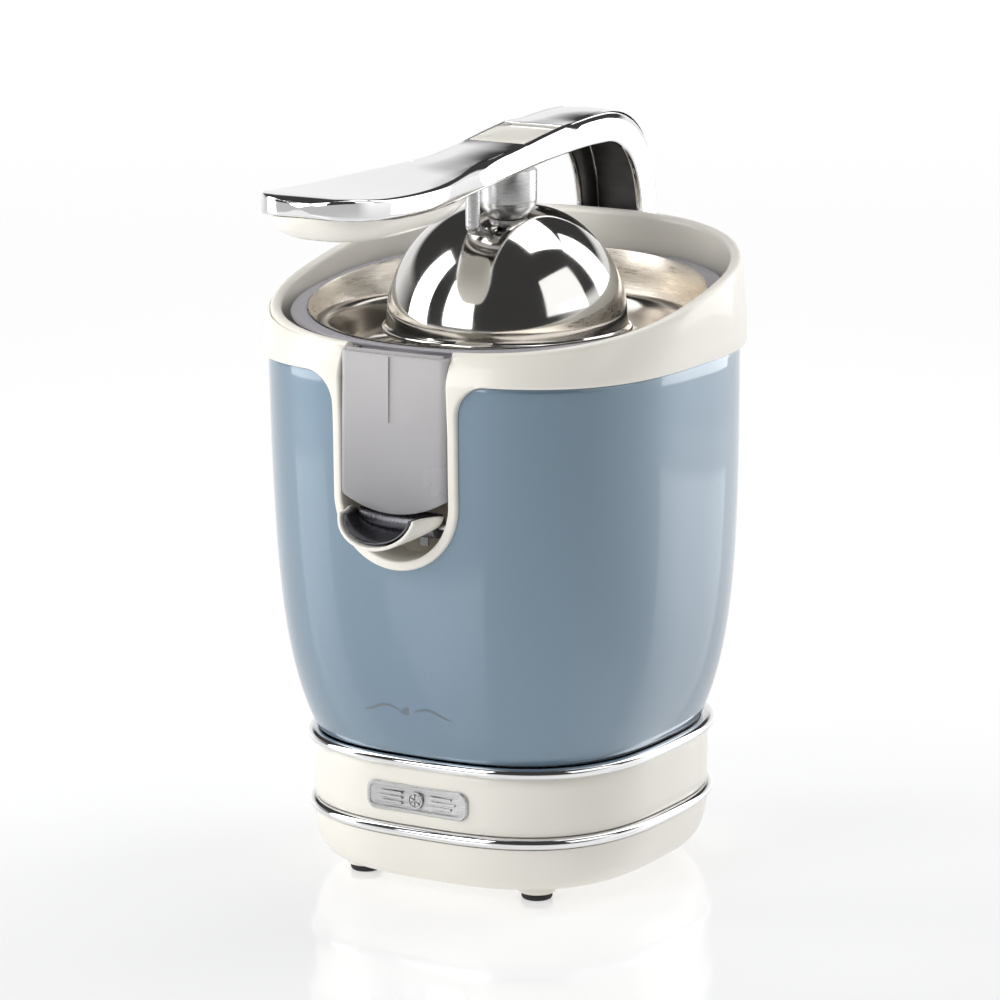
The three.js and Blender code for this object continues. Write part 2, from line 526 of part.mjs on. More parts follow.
const GRIP = [
  [-50, 13, 288, 289.8], [-58, 15.5, 285.2, 289.6], [-68, 18.6, 282.4, 289.6], [-80, 22.4, 280.8, 289.7],
  [-100, 24.6, 280.5, 289.6], [-126, 24.8, 280.5, 289.7], [-140, 23.4, 281.6, 290.6], [-148, 20.4, 283.6, 291.6],
  [-153, 15.4, 286.4, 292.4], [-155.4, 9, 289.6, 293.2],
];
addPart('grip_pad', loft(GRIP.map(([y, half, low, high]) => barLoop(y, half, low, high, 2.6))), CREAM);

const button = new THREE.Shape();
button.moveTo(-9.2, 301.6);
button.lineTo(18, 301.6);
button.lineTo(18, 307.2);
button.lineTo(14, 308.4);
button.lineTo(-9.2, 305.2);
addPart('release_button', sidePlate(button, 13), CREAM);

// ball that clears the outside of the dome
function ballSolid(r) {
  const profile = [];
  for (let k = 0; k <= 18; k++) profile.push([r * Math.sin((k * Math.PI) / 18), DOME_Z - r * Math.cos((k * Math.PI) / 18)]);
  profile[0][0] = 0;
  profile[18][0] = 0;
  return toSolid(turned(profile, 28));
}
addPart('lock_pin', cut(rod(PIN_R, 269, 296.4, 16, 0, PIN_Y), ballSolid(DOME_R + GAP)), BRUSHED);
addPart('lock_spring', coilSpring(2, 0.4, 296.7, 300.3, 3, 0, PIN_Y), BRUSHED);

const stem = cut(join(rod(STEM_R, 277, STEM_TOP - 0.9, 24), rod(8, 290, 300, 16)),
  ballSolid(DOME_R + GAP), rod(2.8, 270, 292, 16));
addPart('dome_stem', stem, BRUSHED);

const domeProfile = [[2.9, DOME_Z + Math.sqrt(DOME_R ** 2 - 2.9 ** 2) - DOME_WALL]];
const inner = DOME_R - DOME_WALL;
for (let k = 1; k <= 6; k++) {
  const t = (k / 6) * (Math.PI / 2);
  domeProfile.push([inner * Math.sin(t), DOME_Z + inner * Math.cos(t)]);
}
domeProfile.push([inner, 225.6], [51.6, 225.6], [52, 226.8], [DOME_R, 228.2]);
for (let k = 7; k >= 1; k--) {
  const t = (k / 7) * (Math.PI / 2);
  domeProfile.push([DOME_R * Math.sin(t), DOME_Z + DOME_R * Math.cos(t)]);
}
domeProfile.push([2.9, DOME_Z + Math.sqrt(DOME_R ** 2 - 2.9 ** 2)]);
domeProfile.push(domeProfile[0]);
addPart('dome', turned(domeProfile, 28), CHROME);
addPart('dome_screw', turned([
  [0, 274], [5, 274.6], [5.4, 276], [5.4, 277.4], [2.5, 277.4], [2.5, 291], [0, 291],
], 12), BRUSHED);

addPart('hinge_pin', crossRod(HINGE_PIN_R - 0.05, -24.6, 24.6, HINGE_Y, HINGE_Z, 24), BRUSHED);
for (const [name, x] of [['friction_washer_left', -16.85], ['friction_washer_right', 16.35]]) {
  addPart(name, cut(crossRod(7, x, x + 0.5, HINGE_Y, HINGE_Z), crossRod(HINGE_PIN_R + 0.25, -30, 30, HINGE_Y, HINGE_Z)), BRASS);
}

export default group;
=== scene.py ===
import json
import math

import bmesh
import bpy
from mathutils import Matrix, Vector


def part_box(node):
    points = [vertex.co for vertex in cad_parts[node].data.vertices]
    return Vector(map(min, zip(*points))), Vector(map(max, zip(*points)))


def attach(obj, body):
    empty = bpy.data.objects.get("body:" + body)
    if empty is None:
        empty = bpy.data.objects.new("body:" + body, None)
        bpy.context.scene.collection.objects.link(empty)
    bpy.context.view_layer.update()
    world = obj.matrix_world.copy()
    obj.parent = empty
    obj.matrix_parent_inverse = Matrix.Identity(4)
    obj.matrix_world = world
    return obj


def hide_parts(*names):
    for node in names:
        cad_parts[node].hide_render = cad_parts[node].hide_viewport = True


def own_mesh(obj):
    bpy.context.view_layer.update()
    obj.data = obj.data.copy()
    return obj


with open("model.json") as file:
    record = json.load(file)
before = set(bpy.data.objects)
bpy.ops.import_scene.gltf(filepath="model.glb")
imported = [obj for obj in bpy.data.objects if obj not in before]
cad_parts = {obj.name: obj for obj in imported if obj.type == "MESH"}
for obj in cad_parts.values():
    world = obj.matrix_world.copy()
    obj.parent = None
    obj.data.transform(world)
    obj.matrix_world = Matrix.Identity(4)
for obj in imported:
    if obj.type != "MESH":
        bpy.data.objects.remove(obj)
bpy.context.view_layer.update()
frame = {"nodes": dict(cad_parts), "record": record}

MM = 0.001
shaft_low, shaft_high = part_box("drive_shaft")
AXIS_Y = (shaft_low[1] + shaft_high[1]) / 2      # reamer axis

# ---------------------------------------------------------------- dimensions, mm from the reamer axis
BODY_LOW_Z, BODY_TALL = 60.0, 160.0
POWER_LOW, POWER_HIGH = 2.75, 2.93           # squareness of the body's section, low and high
DEPTH_LOW, DEPTH_HIGH = 1.03, 0.985          # depth of that section as a share of its width
COLLAR_Z = 219.5                             # lower edge of the collar
CREST_Z, CREST_SLOPE = 248.6, 0.2            # crest of the collar over the axis, and its rise to the back
FRAME_HALF, FRAME_MID_Z = 28.8, 170.0        # half-width of the window frame, middle of its round end
FRAME_PROUD = 2.0                            # how far the frame stands out of the body
WINDOW_HALF = 24.9                           # half-width of the opening in the frame
FLARE_Z, FLARE_R = 206.5, 12.5               # round where the frame runs into the collar
PANEL_Y, PANEL_HALF, PANEL_TOP = -91.0, 24.7, 229.1
POCKET_Y = -69.0                             # back of the spout's recess
BAND_HALF, BAND_DEEPER = 75.1, 2.3           # half-width of the base band, and how much deeper it is
BAND_Y, BAND_POWER = 4.6, 2.82               # middle and squareness of the base's section
BADGE_Z = 42.0                               # height of the badge and of the cord gland
DOME_R, DOME_Z, DOME_WALL = 50.0, 229.9, 1.6
PIN_Y = -27.5                                # lock pin and its spring
HINGE_Y, HINGE_Z = 94.0, 236.0
LEG_HALF, LEG_POCKET_Y, LEG_POCKET_HALF = 16.2, 84.7, 18.5
SPOUT_TOP = 166.0
AROUND = 144                                 # points round a loop


def at(x, y, z):
    return Vector((x * MM, y * MM + AXIS_Y, z * MM))


def mix(a, b, t):
    return a + (b - a) * t


# ---------------------------------------------------------------- mesh building
def new_piece(name, bm, material, body, slot, *nodes, sharp=35):
    """Make the mesh a piece that rides on a body and stands for the named nodes."""
    bmesh.ops.recalc_face_normals(bm, faces=bm.faces)
    mesh = bpy.data.meshes.new(name)
    bm.to_mesh(mesh)
    bm.free()
    mesh.polygons.foreach_set("use_smooth", [True] * len(mesh.polygons))
    mesh.set_sharp_from_angle(angle=math.radians(sharp))
    mesh.materials.append(material)
    piece = bpy.data.objects.new(name, mesh)
    bpy.context.scene.collection.objects.link(piece)
    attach(piece, body)
    if nodes:
        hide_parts(*nodes)
    return piece


def walled(piece, thickness, offset=-1):
    """Give an open shell its wall, in mm."""
    wall = piece.modifiers.new("wall", "SOLIDIFY")
    wall.thickness = thickness * MM
    wall.offset = offset


def softened(piece, width, segments):
    """Round the edges of a wall; width in mm."""
    edge = piece.modifiers.new("edge", "BEVEL")
    edge.width = width * MM
    edge.segments = segments
    edge.limit_method = "ANGLE"


def skin(rows, bm=None, around=True, ring=False, caps=(False, False)):
    """Surface through rows of points, grown row by row from one circle of vertices."""
    bm = bm or bmesh.new()
    order = bm.verts.layers.int.get("order") or bm.verts.layers.int.new("order")
    count = len(rows[0])
    start = bmesh.ops.create_circle(bm, segments=count, radius=1.0)["verts"]
    for i, vert in enumerate(start):
        vert[order] = i
        vert.co = rows[0][i]
    edges = list({edge for vert in start for edge in vert.link_edges})
    if not around:
        closing = [e for e in edges if {v[order] for v in e.verts} == {0, count - 1}]
        bmesh.ops.delete(bm, geom=closing, context="EDGES")
        edges = [e for e in edges if e.is_valid]
    first = edges
    for row in rows[1:]:
        grown = bmesh.ops.extrude_edge_only(bm, edges=edges)["geom"]
        for vert in (v for v in grown if isinstance(v, bmesh.types.BMVert)):
            vert.co = row[vert[order]]
        edges = [e for e in grown if isinstance(e, bmesh.types.BMEdge)]
    if ring:
        bmesh.ops.bridge_loops(bm, edges=first + edges)
    for wanted, loop in zip(caps, (first, edges)):
        if wanted:
            filled = bmesh.ops.contextual_create(bm, geom=loop)["faces"]
            bmesh.ops.poke(bm, faces=filled)
    return bm


def loop_xy(size, turn):
    """Point at that angle on a rounded-square loop of (half-width, half-depth, squareness, middle y)."""
    a, b, n, mid = size
    c, s = math.cos(turn), math.sin(turn)
    r = (abs(c / a) ** n + abs(s / b) ** n) ** (-1 / n)
    return r * c, mid + r * s


def front_of(size, x):
    """Y of the front of a rounded-square loop at x."""
    a, b, n, mid = size
    return mid - b * (1 - abs(x / a) ** n) ** (1 / n)


def rounded_square(size, z, count=AROUND):
    """Points of a rounded-square loop; z is a height or a function of y."""
    points = []
    for i in range(count):
        x, y = loop_xy(size, 2 * math.pi * i / count)
        points.append(at(x, y, z(y) if callable(z) else z))
    return points


def spun(profile, count=96, bm=None, centre=(0, 0, 0), along="Z"):
    """Profile of (radius, place along the axis), spun a full turn about an axis through centre."""
    bm = bm or bmesh.new()
    start = []
    for r, run in profile:
        x, y, z = {"X": (run, r, 0), "Y": (r, run, 0), "Z": (r, 0, run)}[along]
        start.append(bm.verts.new(at(centre[0] + x, centre[1] + y, centre[2] + z)))
    edges = [bm.edges.new(pair) for pair in zip(start, start[1:])]
    axis = {"X": (1, 0, 0), "Y": (0, 1, 0), "Z": (0, 0, 1)}[along]
    bmesh.ops.spin(bm, geom=start + edges, cent=at(*centre), axis=axis, angle=2 * math.pi, steps=count,
                   use_merge=True)
    return bm


def turned(profile, count=96, bm=None, centre=(0, 0, 0), along="Z"):
    """Solid of revolution: the profile is closed to the axis at both ends."""
    closed = [(0.0, profile[0][1]), *profile, (0.0, profile[-1][1])]
    bm = spun(closed, count, bm, centre, along)
    bmesh.ops.remove_doubles(bm, verts=bm.verts[:], dist=1e-6)
    return bm


def arc(cx, cz, r, start, end, steps):
    """Profile points on a circular arc, angles in degrees."""
    return [(cx + r * math.cos(math.radians(mix(start, end, k / steps))),
             cz + r * math.sin(math.radians(mix(start, end, k / steps)))) for k in range(steps + 1)]


# ---------------------------------------------------------------- materials
def material(name, colour, roughness, metallic=0.0, coat=0.0, **sockets):
    mat = bpy.data.materials.new(name)
    mat.use_nodes = True
    nodes, links = mat.node_tree.nodes, mat.node_tree.links
    shader = nodes["Principled BSDF"]
    shader.inputs["Base Color"].default_value = (*colour, 1)
    shader.inputs["Roughness"].default_value = roughness
    shader.inputs["Metallic"].default_value = metallic
    shader.inputs["Coat Weight"].default_value = coat
    for socket, value in sockets.items():
        shader.inputs[socket.replace("_", " ").title().replace("Ior", "IOR")].default_value = value
    coords = nodes.new("ShaderNodeTexCoord")
    return mat, nodes, links, shader, coords


def noise(nodes, links, coords, scale, detail=3.0, stretch=(1, 1, 1), roughness=0.5):
    mapping = nodes.new("ShaderNodeMapping")
    mapping.inputs["Scale"].default_value = stretch
    links.new(coords.outputs["Object"], mapping.inputs["Vector"])
    texture = nodes.new("ShaderNodeTexNoise")
    texture.inputs["Scale"].default_value = scale
    texture.inputs["Detail"].default_value = detail
    texture.inputs["Roughness"].default_value = roughness
    links.new(mapping.outputs["Vector"], texture.inputs["Vector"])
    return texture


def vary(nodes, links, texture, socket, low, high):
    spread = nodes.new("ShaderNodeMapRange")
    spread.inputs["From Min"].default_value = 0.3
    spread.inputs["From Max"].default_value = 0.7
    spread.inputs["To Min"].default_value = low
    spread.inputs["To Max"].default_value = high
    links.new(texture.outputs["Fac"], spread.inputs["Value"])
    links.new(spread.outputs["Result"], socket)


def tint(nodes, links, texture, socket, dark, light):
    ramp = nodes.new("ShaderNodeValToRGB")
    ramp.color_ramp.elements[0].position = 0.3
    ramp.color_ramp.elements[0].color = (*dark, 1)
    ramp.color_ramp.elements[1].position = 0.7
    ramp.color_ramp.elements[1].color = (*light, 1)
    links.new(texture.outputs["Fac"], ramp.inputs["Fac"])
    links.new(ramp.outputs["Color"], socket)


def bump(nodes, links, texture, shader, strength, distance):
    node = nodes.new("ShaderNodeBump")
    node.inputs["Strength"].default_value = strength
    node.inputs["Distance"].default_value = distance
    links.new(texture.outputs["Fac"], node.inputs["Height"])
    links.new(node.outputs["Normal"], shader.inputs["Normal"])


def scaled(colour, factor):
    return tuple(c * factor for c in colour)


def moulded(name, colour, roughness=0.34, coat=0.0):
    """Injection-moulded plastic: faint flow mottling and a very fine texture."""
    mat, nodes, links, shader, coords = material(name, colour, roughness, coat=coat)
    cloud = noise(nodes, links, coords, 22, 3)
    tint(nodes, links, cloud, shader.inputs["Base Color"], scaled(colour, 0.975), colour)
    grain = noise(nodes, links, coords, 900, 2)
    vary(nodes, links, grain, shader.inputs["Roughness"], roughness - 0.05, roughness + 0.06)
    bump(nodes, links, grain, shader, 0.05, 0.0002)
    return mat


def lacquered(name, colour):
    """Sprayed gloss lacquer over a metal flake base, with a trace of orange peel."""
    mat, nodes, links, shader, coords = material(
        name, colour, 0.36, metallic=0.34, coat=1.0, coat_roughness=0.05)
    flake = noise(nodes, links, coords, 2600, 1)
    tint(nodes, links, flake, shader.inputs["Base Color"], scaled(colour, 0.955), scaled(colour, 1.03))
    vary(nodes, links, flake, shader.inputs["Roughness"], 0.32, 0.42)
    peel = noise(nodes, links, coords, 260, 2)
    bump(nodes, links, peel, shader, 0.03, 0.0002)
    return mat


def polished(name, colour, roughness=0.05, wave=0.02):
    """Plated or buffed metal: almost a mirror, with faint buffing haze."""
    mat, nodes, links, shader, coords = material(name, colour, roughness, metallic=1.0)
    haze = noise(nodes, links, coords, 60, 4)
    vary(nodes, links, haze, shader.inputs["Roughness"], roughness * 0.7, roughness * 1.5)
    tint(nodes, links, haze, shader.inputs["Base Color"], scaled(colour, 0.97), colour)
    ripple = noise(nodes, links, coords, 45, 2)
    bump(nodes, links, ripple, shader, wave, 0.0004)
    return mat


def brushed(name, colour, roughness=0.3, stretch=(1, 1, 40)):
    """Metal with fine parallel brushing; stretch squeezes the lines across one axis."""
    mat, nodes, links, shader, coords = material(name, colour, roughness, metallic=1.0)
    lines = noise(nodes, links, coords, 120, 3, stretch)
    vary(nodes, links, lines, shader.inputs["Roughness"], roughness - 0.08, roughness + 0.12)
    tint(nodes, links, lines, shader.inputs["Base Color"], scaled(colour, 0.82), colour)
    bump(nodes, links, lines, shader, 0.12, 0.0002)
    return mat


def rubbery(name, colour):
    mat, nodes, links, shader, coords = material(name, colour, 0.7)
    speck = noise(nodes, links, coords, 700, 3)
    vary(nodes, links, speck, shader.inputs["Roughness"], 0.6, 0.85)
    tint(nodes, links, speck, shader.inputs["Base Color"], scaled(colour, 0.8), scaled(colour, 1.3))
    bump(nodes, links, speck, shader, 0.2, 0.0003)
    return mat


def smoky(name, colour, alpha, roughness, painted_shade_span=None):
    """Clear grey plastic, slightly cloudy from moulding, with painted shade darker below over a span of
    heights.
    """
    mat, nodes, links, shader, coords = material(name, colour, roughness, alpha=alpha, ior=1.5)
    cloud = noise(nodes, links, coords, 18, 4)
    tint(nodes, links, cloud, shader.inputs["Base Color"], scaled(colour, 0.9), scaled(colour, 1.04))
    if painted_shade_span:
        # painted shade: the colour is multiplied darker towards the bottom of that height range
        split = nodes.new("ShaderNodeSeparateXYZ")
        links.new(coords.outputs["Object"], split.inputs["Vector"])
        height = nodes.new("ShaderNodeMapRange")
        height.inputs["From Min"].default_value, height.inputs["From Max"].default_value = painted_shade_span
        links.new(split.outputs["Z"], height.inputs["Value"])
        blend = nodes.new("ShaderNodeMix")
        blend.data_type = "RGBA"
        blend.blend_type = "MULTIPLY"
        blend.inputs[0].default_value = 1.0
        painted_shade_ramp = nodes.new("ShaderNodeValToRGB")
        painted_shade_ramp.color_ramp.elements[0].color = (0.62, 0.62, 0.64, 1)
        painted_shade_ramp.color_ramp.elements[1].color = (1.0, 0.99, 0.99, 1)
        links.new(height.outputs["Result"], painted_shade_ramp.inputs["Fac"])
        pale = shader.inputs["Base Color"].links[0].from_socket
        links.new(pale, blend.inputs[6])
        links.new(painted_shade_ramp.outputs["Color"], blend.inputs[7])
        links.new(blend.outputs[2], shader.inputs["Base Color"])
    vary(nodes, links, cloud, shader.inputs["Roughness"], roughness * 0.8, roughness * 1.3)
    fine = noise(nodes, links, coords, 380, 2)
    bump(nodes, links, fine, shader, 0.04, 0.0003)
    return mat


CREAM = moulded("cream_plastic", (0.90, 0.872, 0.800), 0.33, coat=0.25)
# cream darkened to painted shade, for the inside of the spout's recess
SHADED_CREAM = moulded("recess_cream_painted_shade", (0.50, 0.46, 0.37), 0.5)
LACQUER = lacquered("blue_grey_lacquer", (0.180, 0.265, 0.345))
CHROME = polished("polished_chrome", (0.86, 0.86, 0.865), 0.045)
STEEL = polished("polished_steel", (0.72, 0.705, 0.68), 0.07)
BASKET = polished("strainer_steel", (0.40, 0.375, 0.345), 0.14)
SLEEVE = brushed("sleeve_steel", (0.80, 0.735, 0.650), 0.30, (1, 1, 12))
BRUSHED = brushed("brushed_steel", (0.62, 0.62, 0.62), 0.3, (1, 1, 40))
# dark grey standing for painted shade and reflection in the chrome lever's channel
CHANNEL_SHADE = brushed("channel_painted_shade", (0.20, 0.195, 0.19), 0.42, (1, 12, 1))
# stainless steel darkened with painted shade and reflection, for the spout's lining and barrel
SPOUT_SHADE_STEEL = brushed("spout_steel_painted_shade", (0.16, 0.16, 0.175), 0.3, (30, 1, 1))
RUBBER = rubbery("black_rubber", (0.018, 0.018, 0.019))
# smoky window with painted shade, darker towards its lower edge
WINDOW = smoky("smoke_window_painted_shade", (0.60, 0.59, 0.60), 0.84, 0.22, (0.166, 0.222))
CLEAR = smoky("smoke_flange", (0.52, 0.50, 0.54), 0.75, 0.3)
BRASS = brushed("machined_brass", (0.62, 0.48, 0.22), 0.3, (1, 1, 20))
ZINC = rubbery("cast_zinc", (0.34, 0.35, 0.36))
PRINT = moulded("grey_print", (0.16, 0.20, 0.235), 0.4)
ACETAL = moulded("white_acetal", (0.75, 0.74, 0.70), 0.45)
DARK = moulded("dark_plastic", (0.03, 0.03, 0.033), 0.45)

slot_material = {
    "cream_plastic": CREAM, "lacquered_body": LACQUER, "polished_chrome": CHROME, "stainless_steel": STEEL,
    "brushed_metal": BRUSHED, "clear_plastic": CLEAR, "black_rubber": RUBBER, "zinc_casting": ZINC,
    "plated_steel": BRUSHED, "brass": BRASS, "gear_plastic": ACETAL, "dark_plastic": DARK,
}
for part in frame["record"]["subparts"]:
    node = frame["nodes"][part["node"]]
    for material_slot in node.material_slots:
        material_slot.material = slot_material[part["material_slot"]]


# ---------------------------------------------------------------- body surfaces
def body_half(z):
    """Half-width of the body at height z: it draws in towards the base."""
    return 89.1 - 15.5 * math.exp(-(z - BODY_LOW_Z) / 36)


def body_size(z, offset=0.0):
    """Half-width, half-depth, squareness and middle of the body at height z."""
    up, half = (z - BODY_LOW_Z) / BODY_TALL, body_half(z)
    depth, power = mix(DEPTH_LOW, DEPTH_HIGH, up), mix(POWER_LOW, POWER_HIGH, up)
    return (half + offset, half * depth + offset, power, 3.0 - 0.027 * (z - BODY_LOW_Z))


def collar_size(t):
    """Half-width, half-depth, squareness and middle of the collar: t 0 at its lower edge, 1 at the crest."""
    bulge = 0.7 * math.sin(math.pi * t)
    half_width, half_depth = mix(91.3, 93.7, t) + bulge, mix(90.7, 85.9, t) + bulge
    return (half_width, half_depth, mix(POWER_HIGH, 2.5, t), mix(-1.3, -1.0, t))


def crest_z(y):
    return CREST_Z + CREST_SLOPE * y


def front_y(x, z):
    """Front surface of collar and window frame at (x, z)."""
    if z <= COLLAR_Z:
        blend = max(0.0, (z - 200) / 19.5)
        frame_size, low_size = body_size(z, FRAME_PROUD), collar_size(0)
        return front_of([mix(u, v, blend) for u, v in zip(frame_size, low_size)], x)
    y = -88.0
    for _ in range(4):
        t = min(1.0, (z - COLLAR_Z) / (crest_z(y) - COLLAR_Z))
        y = front_of(collar_size(t), x)
    return y


# ---------------------------------------------------------------- base
def band_loop(half, z):
    return rounded_square((half, half + BAND_DEEPER, BAND_POWER, BAND_Y), z)


foot_spots = {"foot_front_left": (-41.3, -46), "foot_front_right": (41.3, -46),
              "foot_rear_left": (-41.3, 55), "foot_rear_right": (41.3, 55)}
pan_profile = [(60, 6.0), (66, 6.05), (68.2, 6.6), (70.2, 8.0), (72.0, 10.4), (73.4, 13.6), (74.4, 17.4),
               (74.9, 21.5), (75.0, 25.3), (71.5, 25.3), (71.0, 12)]
socket_profile = [(7.2, 2.9), (7.7, 3.3), (8.2, 5.4), (8.8, 8.6), (9.6, 9.4)]
rubber_profile = [(5.4, 0.0), (6.0, 0.3), (6.4, 1.0), (6.45, 2.2), (6.2, 2.8)]
pan = skin([band_loop(half, z) for half, z in pan_profile], caps=(True, True))
for x, y in foot_spots.values():
    turned(socket_profile, 48, pan, (x, y, 0))
new_piece("base_pan_moulding", pan, CREAM, "housing", "cream_plastic", "base_pan")
for name, (x, y) in foot_spots.items():
    new_piece(name + "_rubber", turned(rubber_profile, 48, None, (x, y, 0)), RUBBER, "housing",
              "black_rubber", name)

band_profile = [(72.4, 25.9), (72.4, 30.5), (74.6, 30.8), (75.0, 31.4), (75.1, 36), (75.1, 50), (75.0, 54.2),
                (74.6, 54.8), (72.4, 55.2), (72.4, 59.8), (69.6, 59.8), (69.6, 25.9)]
band = skin([band_loop(half, z) for half, z in band_profile], ring=True)
new_piece("base_band_moulding", band, CREAM, "housing", "cream_plastic", "base_band")

TRIM_R, TRIM_BACK = 2.35, 72.8
for name, z, half in (("ring_lower", 28.1, 77.3), ("ring_upper", 57.5, 77.9)):
    section = [(TRIM_BACK, z - 2.3)] + arc(half - TRIM_R, z, TRIM_R, -90, 90, 12) + [(TRIM_BACK, z + 2.3)]
    trim = skin([band_loop(h, zz) for h, zz in section], ring=True)
    new_piece(name + "_trim", trim, CHROME, "housing", "polished_chrome", name)

# ---------------------------------------------------------------- body shell
SHELL_TUCK = {60.3: 0.5, 60.9: 0.12, 218.6: 0.12, 219.1: 0.5}       # loops that tuck in at both ends
shell_heights = [60.3, 60.9, 62] + [mix(64, 217, k / 38) for k in range(39)] + [218.6, 219.1]
shell_rows = []
for z in shell_heights:
    shell_rows.append(rounded_square(body_size(z, -SHELL_TUCK.get(z, 0.0)), z, 192))
shell = skin(shell_rows)
# open the front for the window: score the outline, then drop what is inside it
SCORE = 27.0
FRONT_Y = at(0, -60, 0).y
planes = [((SCORE, 0, 0), (1, 0, 0)), ((-SCORE, 0, 0), (1, 0, 0))]
for k in range(1, 16):
    c, s = math.cos(math.pi * k / 16), math.sin(math.pi * k / 16)
    planes.append(((SCORE * c, 0, FRAME_MID_Z - SCORE * s), (c, 0, -s)))


def near_window(face):
    centre = face.calc_center_median()
    return centre.y < FRONT_Y and abs(centre.x) < 36 * MM and centre.z > 138 * MM


for (px, _, pz), normal in planes:
    front = [face for face in shell.faces if near_window(face)]
    geometry = list({v for f in front for v in f.verts} | {e for f in front for e in f.edges}) + front
    bmesh.ops.bisect_plane(shell, geom=geometry, plane_co=at(px, 0, pz), plane_no=normal, dist=1e-6)


def inside_window(face):
    centre = face.calc_center_median()
    x, z = centre.x / MM, centre.z / MM
    if centre.y > FRONT_Y:
        return False
    return abs(x) < SCORE and (z > FRAME_MID_Z or math.hypot(x, z - FRAME_MID_Z) < SCORE)


bmesh.ops.delete(shell, geom=[f for f in shell.faces if inside_window(f)], context="FACES")
shell_piece = new_piece("body_shell_lacquered", shell, LACQUER, "housing", "lacquered_body", "body_shell",
                        sharp=50)
walled(shell_piece, 2.2)


# ---------------------------------------------------------------- collar with window frame
def turn_for_x(size, x):
    """Angle of the front point of a loop at that x."""
    a, b, n, _ = size
    return math.atan2(front_of((a, b, n, 0.0), x), x)


def collar_column(turn_low, turn_high):
    """One column of the collar from its lower edge over the crest and down the inside."""
    def surface(t, inset=0.0):
        a, b, n, mid = collar_size(t)
        x, y = loop_xy((a - inset, b - inset, n, mid), mix(turn_low, turn_high, t))
        return (x, min(y, LEG_POCKET_Y)) if abs(x) < LEG_POCKET_HALF else (x, y)

    top = crest_z(surface(1)[1])
    column = []
    # lower edge, outer wall, rolled crest, inner wall
    for inset, z in ((6.0, 219.6), (1.0, 219.4), (0.3, 219.6), (0.0, 220.4)):
        column.append(at(*surface(0, inset), z))
    for t in (0.16, 0.32, 0.48, 0.64, 0.8, 0.9):
        column.append(at(*surface(t), mix(COLLAR_Z, top, t)))
    for inset, drop in ((0.0, 2.6), (0.25, 1.4), (0.9, 0.45), (1.8, 0.05), (2.7, 0.05), (3.6, 0.45),
                        (4.25, 1.4), (4.5, 2.8)):
        column.append(at(*surface(1, inset), top - drop))
    for t in (0.7, 0.35, 0.0):
        column.append(at(*surface(t, mix(5.6, 4.6, t)), mix(COLLAR_Z, top, t) - (0 if t else 2)))
    return column


def frame_column(low, high):
    """One column of the window frame: low is the outer edge point (x, z), high the window edge point."""
    width = math.hypot(high[0] - low[0], high[1] - low[1])
    deep = -80.5 if high[1] > 221 else POCKET_Y

    def point(t, sink=0.0):
        x, z = mix(low[0], high[0], t), mix(low[1], high[1], t)
        return at(x, front_y(x, z) + sink, z)

    # outer edge, face, rounded inner edge, wall of the opening
    column = [point(0, 6.0), point(0, 1.0), point(0.25 / width, 0.35), point(0.8 / width, 0.05)]
    for t in (0.16, 0.32, 0.48, 0.64, 0.8, 0.9):
        column.append(point(mix(0.8 / width, 1 - 1.2 / width, t)))
    for back, sink in ((1.1, 0.0), (0.8, 0.06), (0.5, 0.2), (0.25, 0.45), (0.1, 0.75), (0.0, 1.3), (0.0, 2.2),
                       (0.0, 3.4)):
        column.append(point(1 - back / width, sink))
    x, z = high
    start = front_y(x, z) + 3.4
    for t in (0.35, 0.7, 1.0):
        column.append(at(x, mix(start, deep, t), z))
    return column


crest_turn = turn_for_x(collar_size(1), WINDOW_HALF)
low_turn = turn_for_x(collar_size(0), FRAME_HALF + FLARE_R)
MAIN, FLARE, STRAIGHT, ROUND = 150, 10, 9, 40           # columns round the rim, flare, sides and round end
columns = []
for k in range(MAIN + 1):
    t = k / MAIN
    low, high = mix(low_turn, math.pi - low_turn, t), mix(crest_turn, math.pi - crest_turn, t)
    columns.append(collar_column(low, high))
EDGE_TOP_Z = 230.6
# outer and inner points (x, z) down the right side of the frame
right = []
for k in range(1, FLARE + 1):
    t = k / FLARE
    c, s = math.cos(math.radians(90 + 90 * t)), math.sin(math.radians(90 + 90 * t))
    low = (FRAME_HALF + FLARE_R + FLARE_R * c, FLARE_Z + FLARE_R * s + 0.5 * (1 - t))
    right.append((low, (WINDOW_HALF, mix(EDGE_TOP_Z, FLARE_Z, t))))
for k in range(1, STRAIGHT):
    z = mix(FLARE_Z, FRAME_MID_Z, k / STRAIGHT)
    right.append(((FRAME_HALF, z), (WINDOW_HALF, z)))
bottom = []
for k in range(ROUND + 1):
    c, s = math.cos(math.pi * k / ROUND), math.sin(math.pi * k / ROUND)
    low, high = ((half * c, FRAME_MID_Z - half * s) for half in (FRAME_HALF, WINDOW_HALF))
    bottom.append((low, high))
# columns run from the right front corner round the back to the left, then down and up the frame
left_and_bottom = [((-low[0], low[1]), (-high[0], high[1])) for low, high in right + bottom]
columns += [frame_column(low, high) for low, high in left_and_bottom + list(reversed(right))]
collar = skin([list(row) for row in zip(*columns)], ring=True)
# fork at the back for the lever hinge
EAR_IN, EAR_OUT, EAR_R = 17.1, 23.4, 8.7
ear = [at(0, 82, 223.4), at(0, 96, 223.4), at(0, 99.5, 228)]
ear += [at(0, y, z) for y, z in arc(HINGE_Y, HINGE_Z, EAR_R, -25, 115, 12)]
ear += [at(0, 86, 246.5), at(0, 82, 249)]
ear_middle = at(0, 90, 235)
for side in (-1, 1):
    ear_rows = []
    for t, size in ((0, 1.0), (0.04, 1.0), (0.9, 1.0), (0.97, 0.985), (1, 0.95)):
        shift = Vector((side * mix(EAR_IN, EAR_OUT, t) * MM, 0, 0))
        ear_rows.append([ear_middle + (point - ear_middle) * size + shift for point in ear])
    skin(ear_rows, collar, caps=(True, True))
new_piece("collar_moulding", collar, CREAM, "housing", "cream_plastic", "collar", sharp=40)

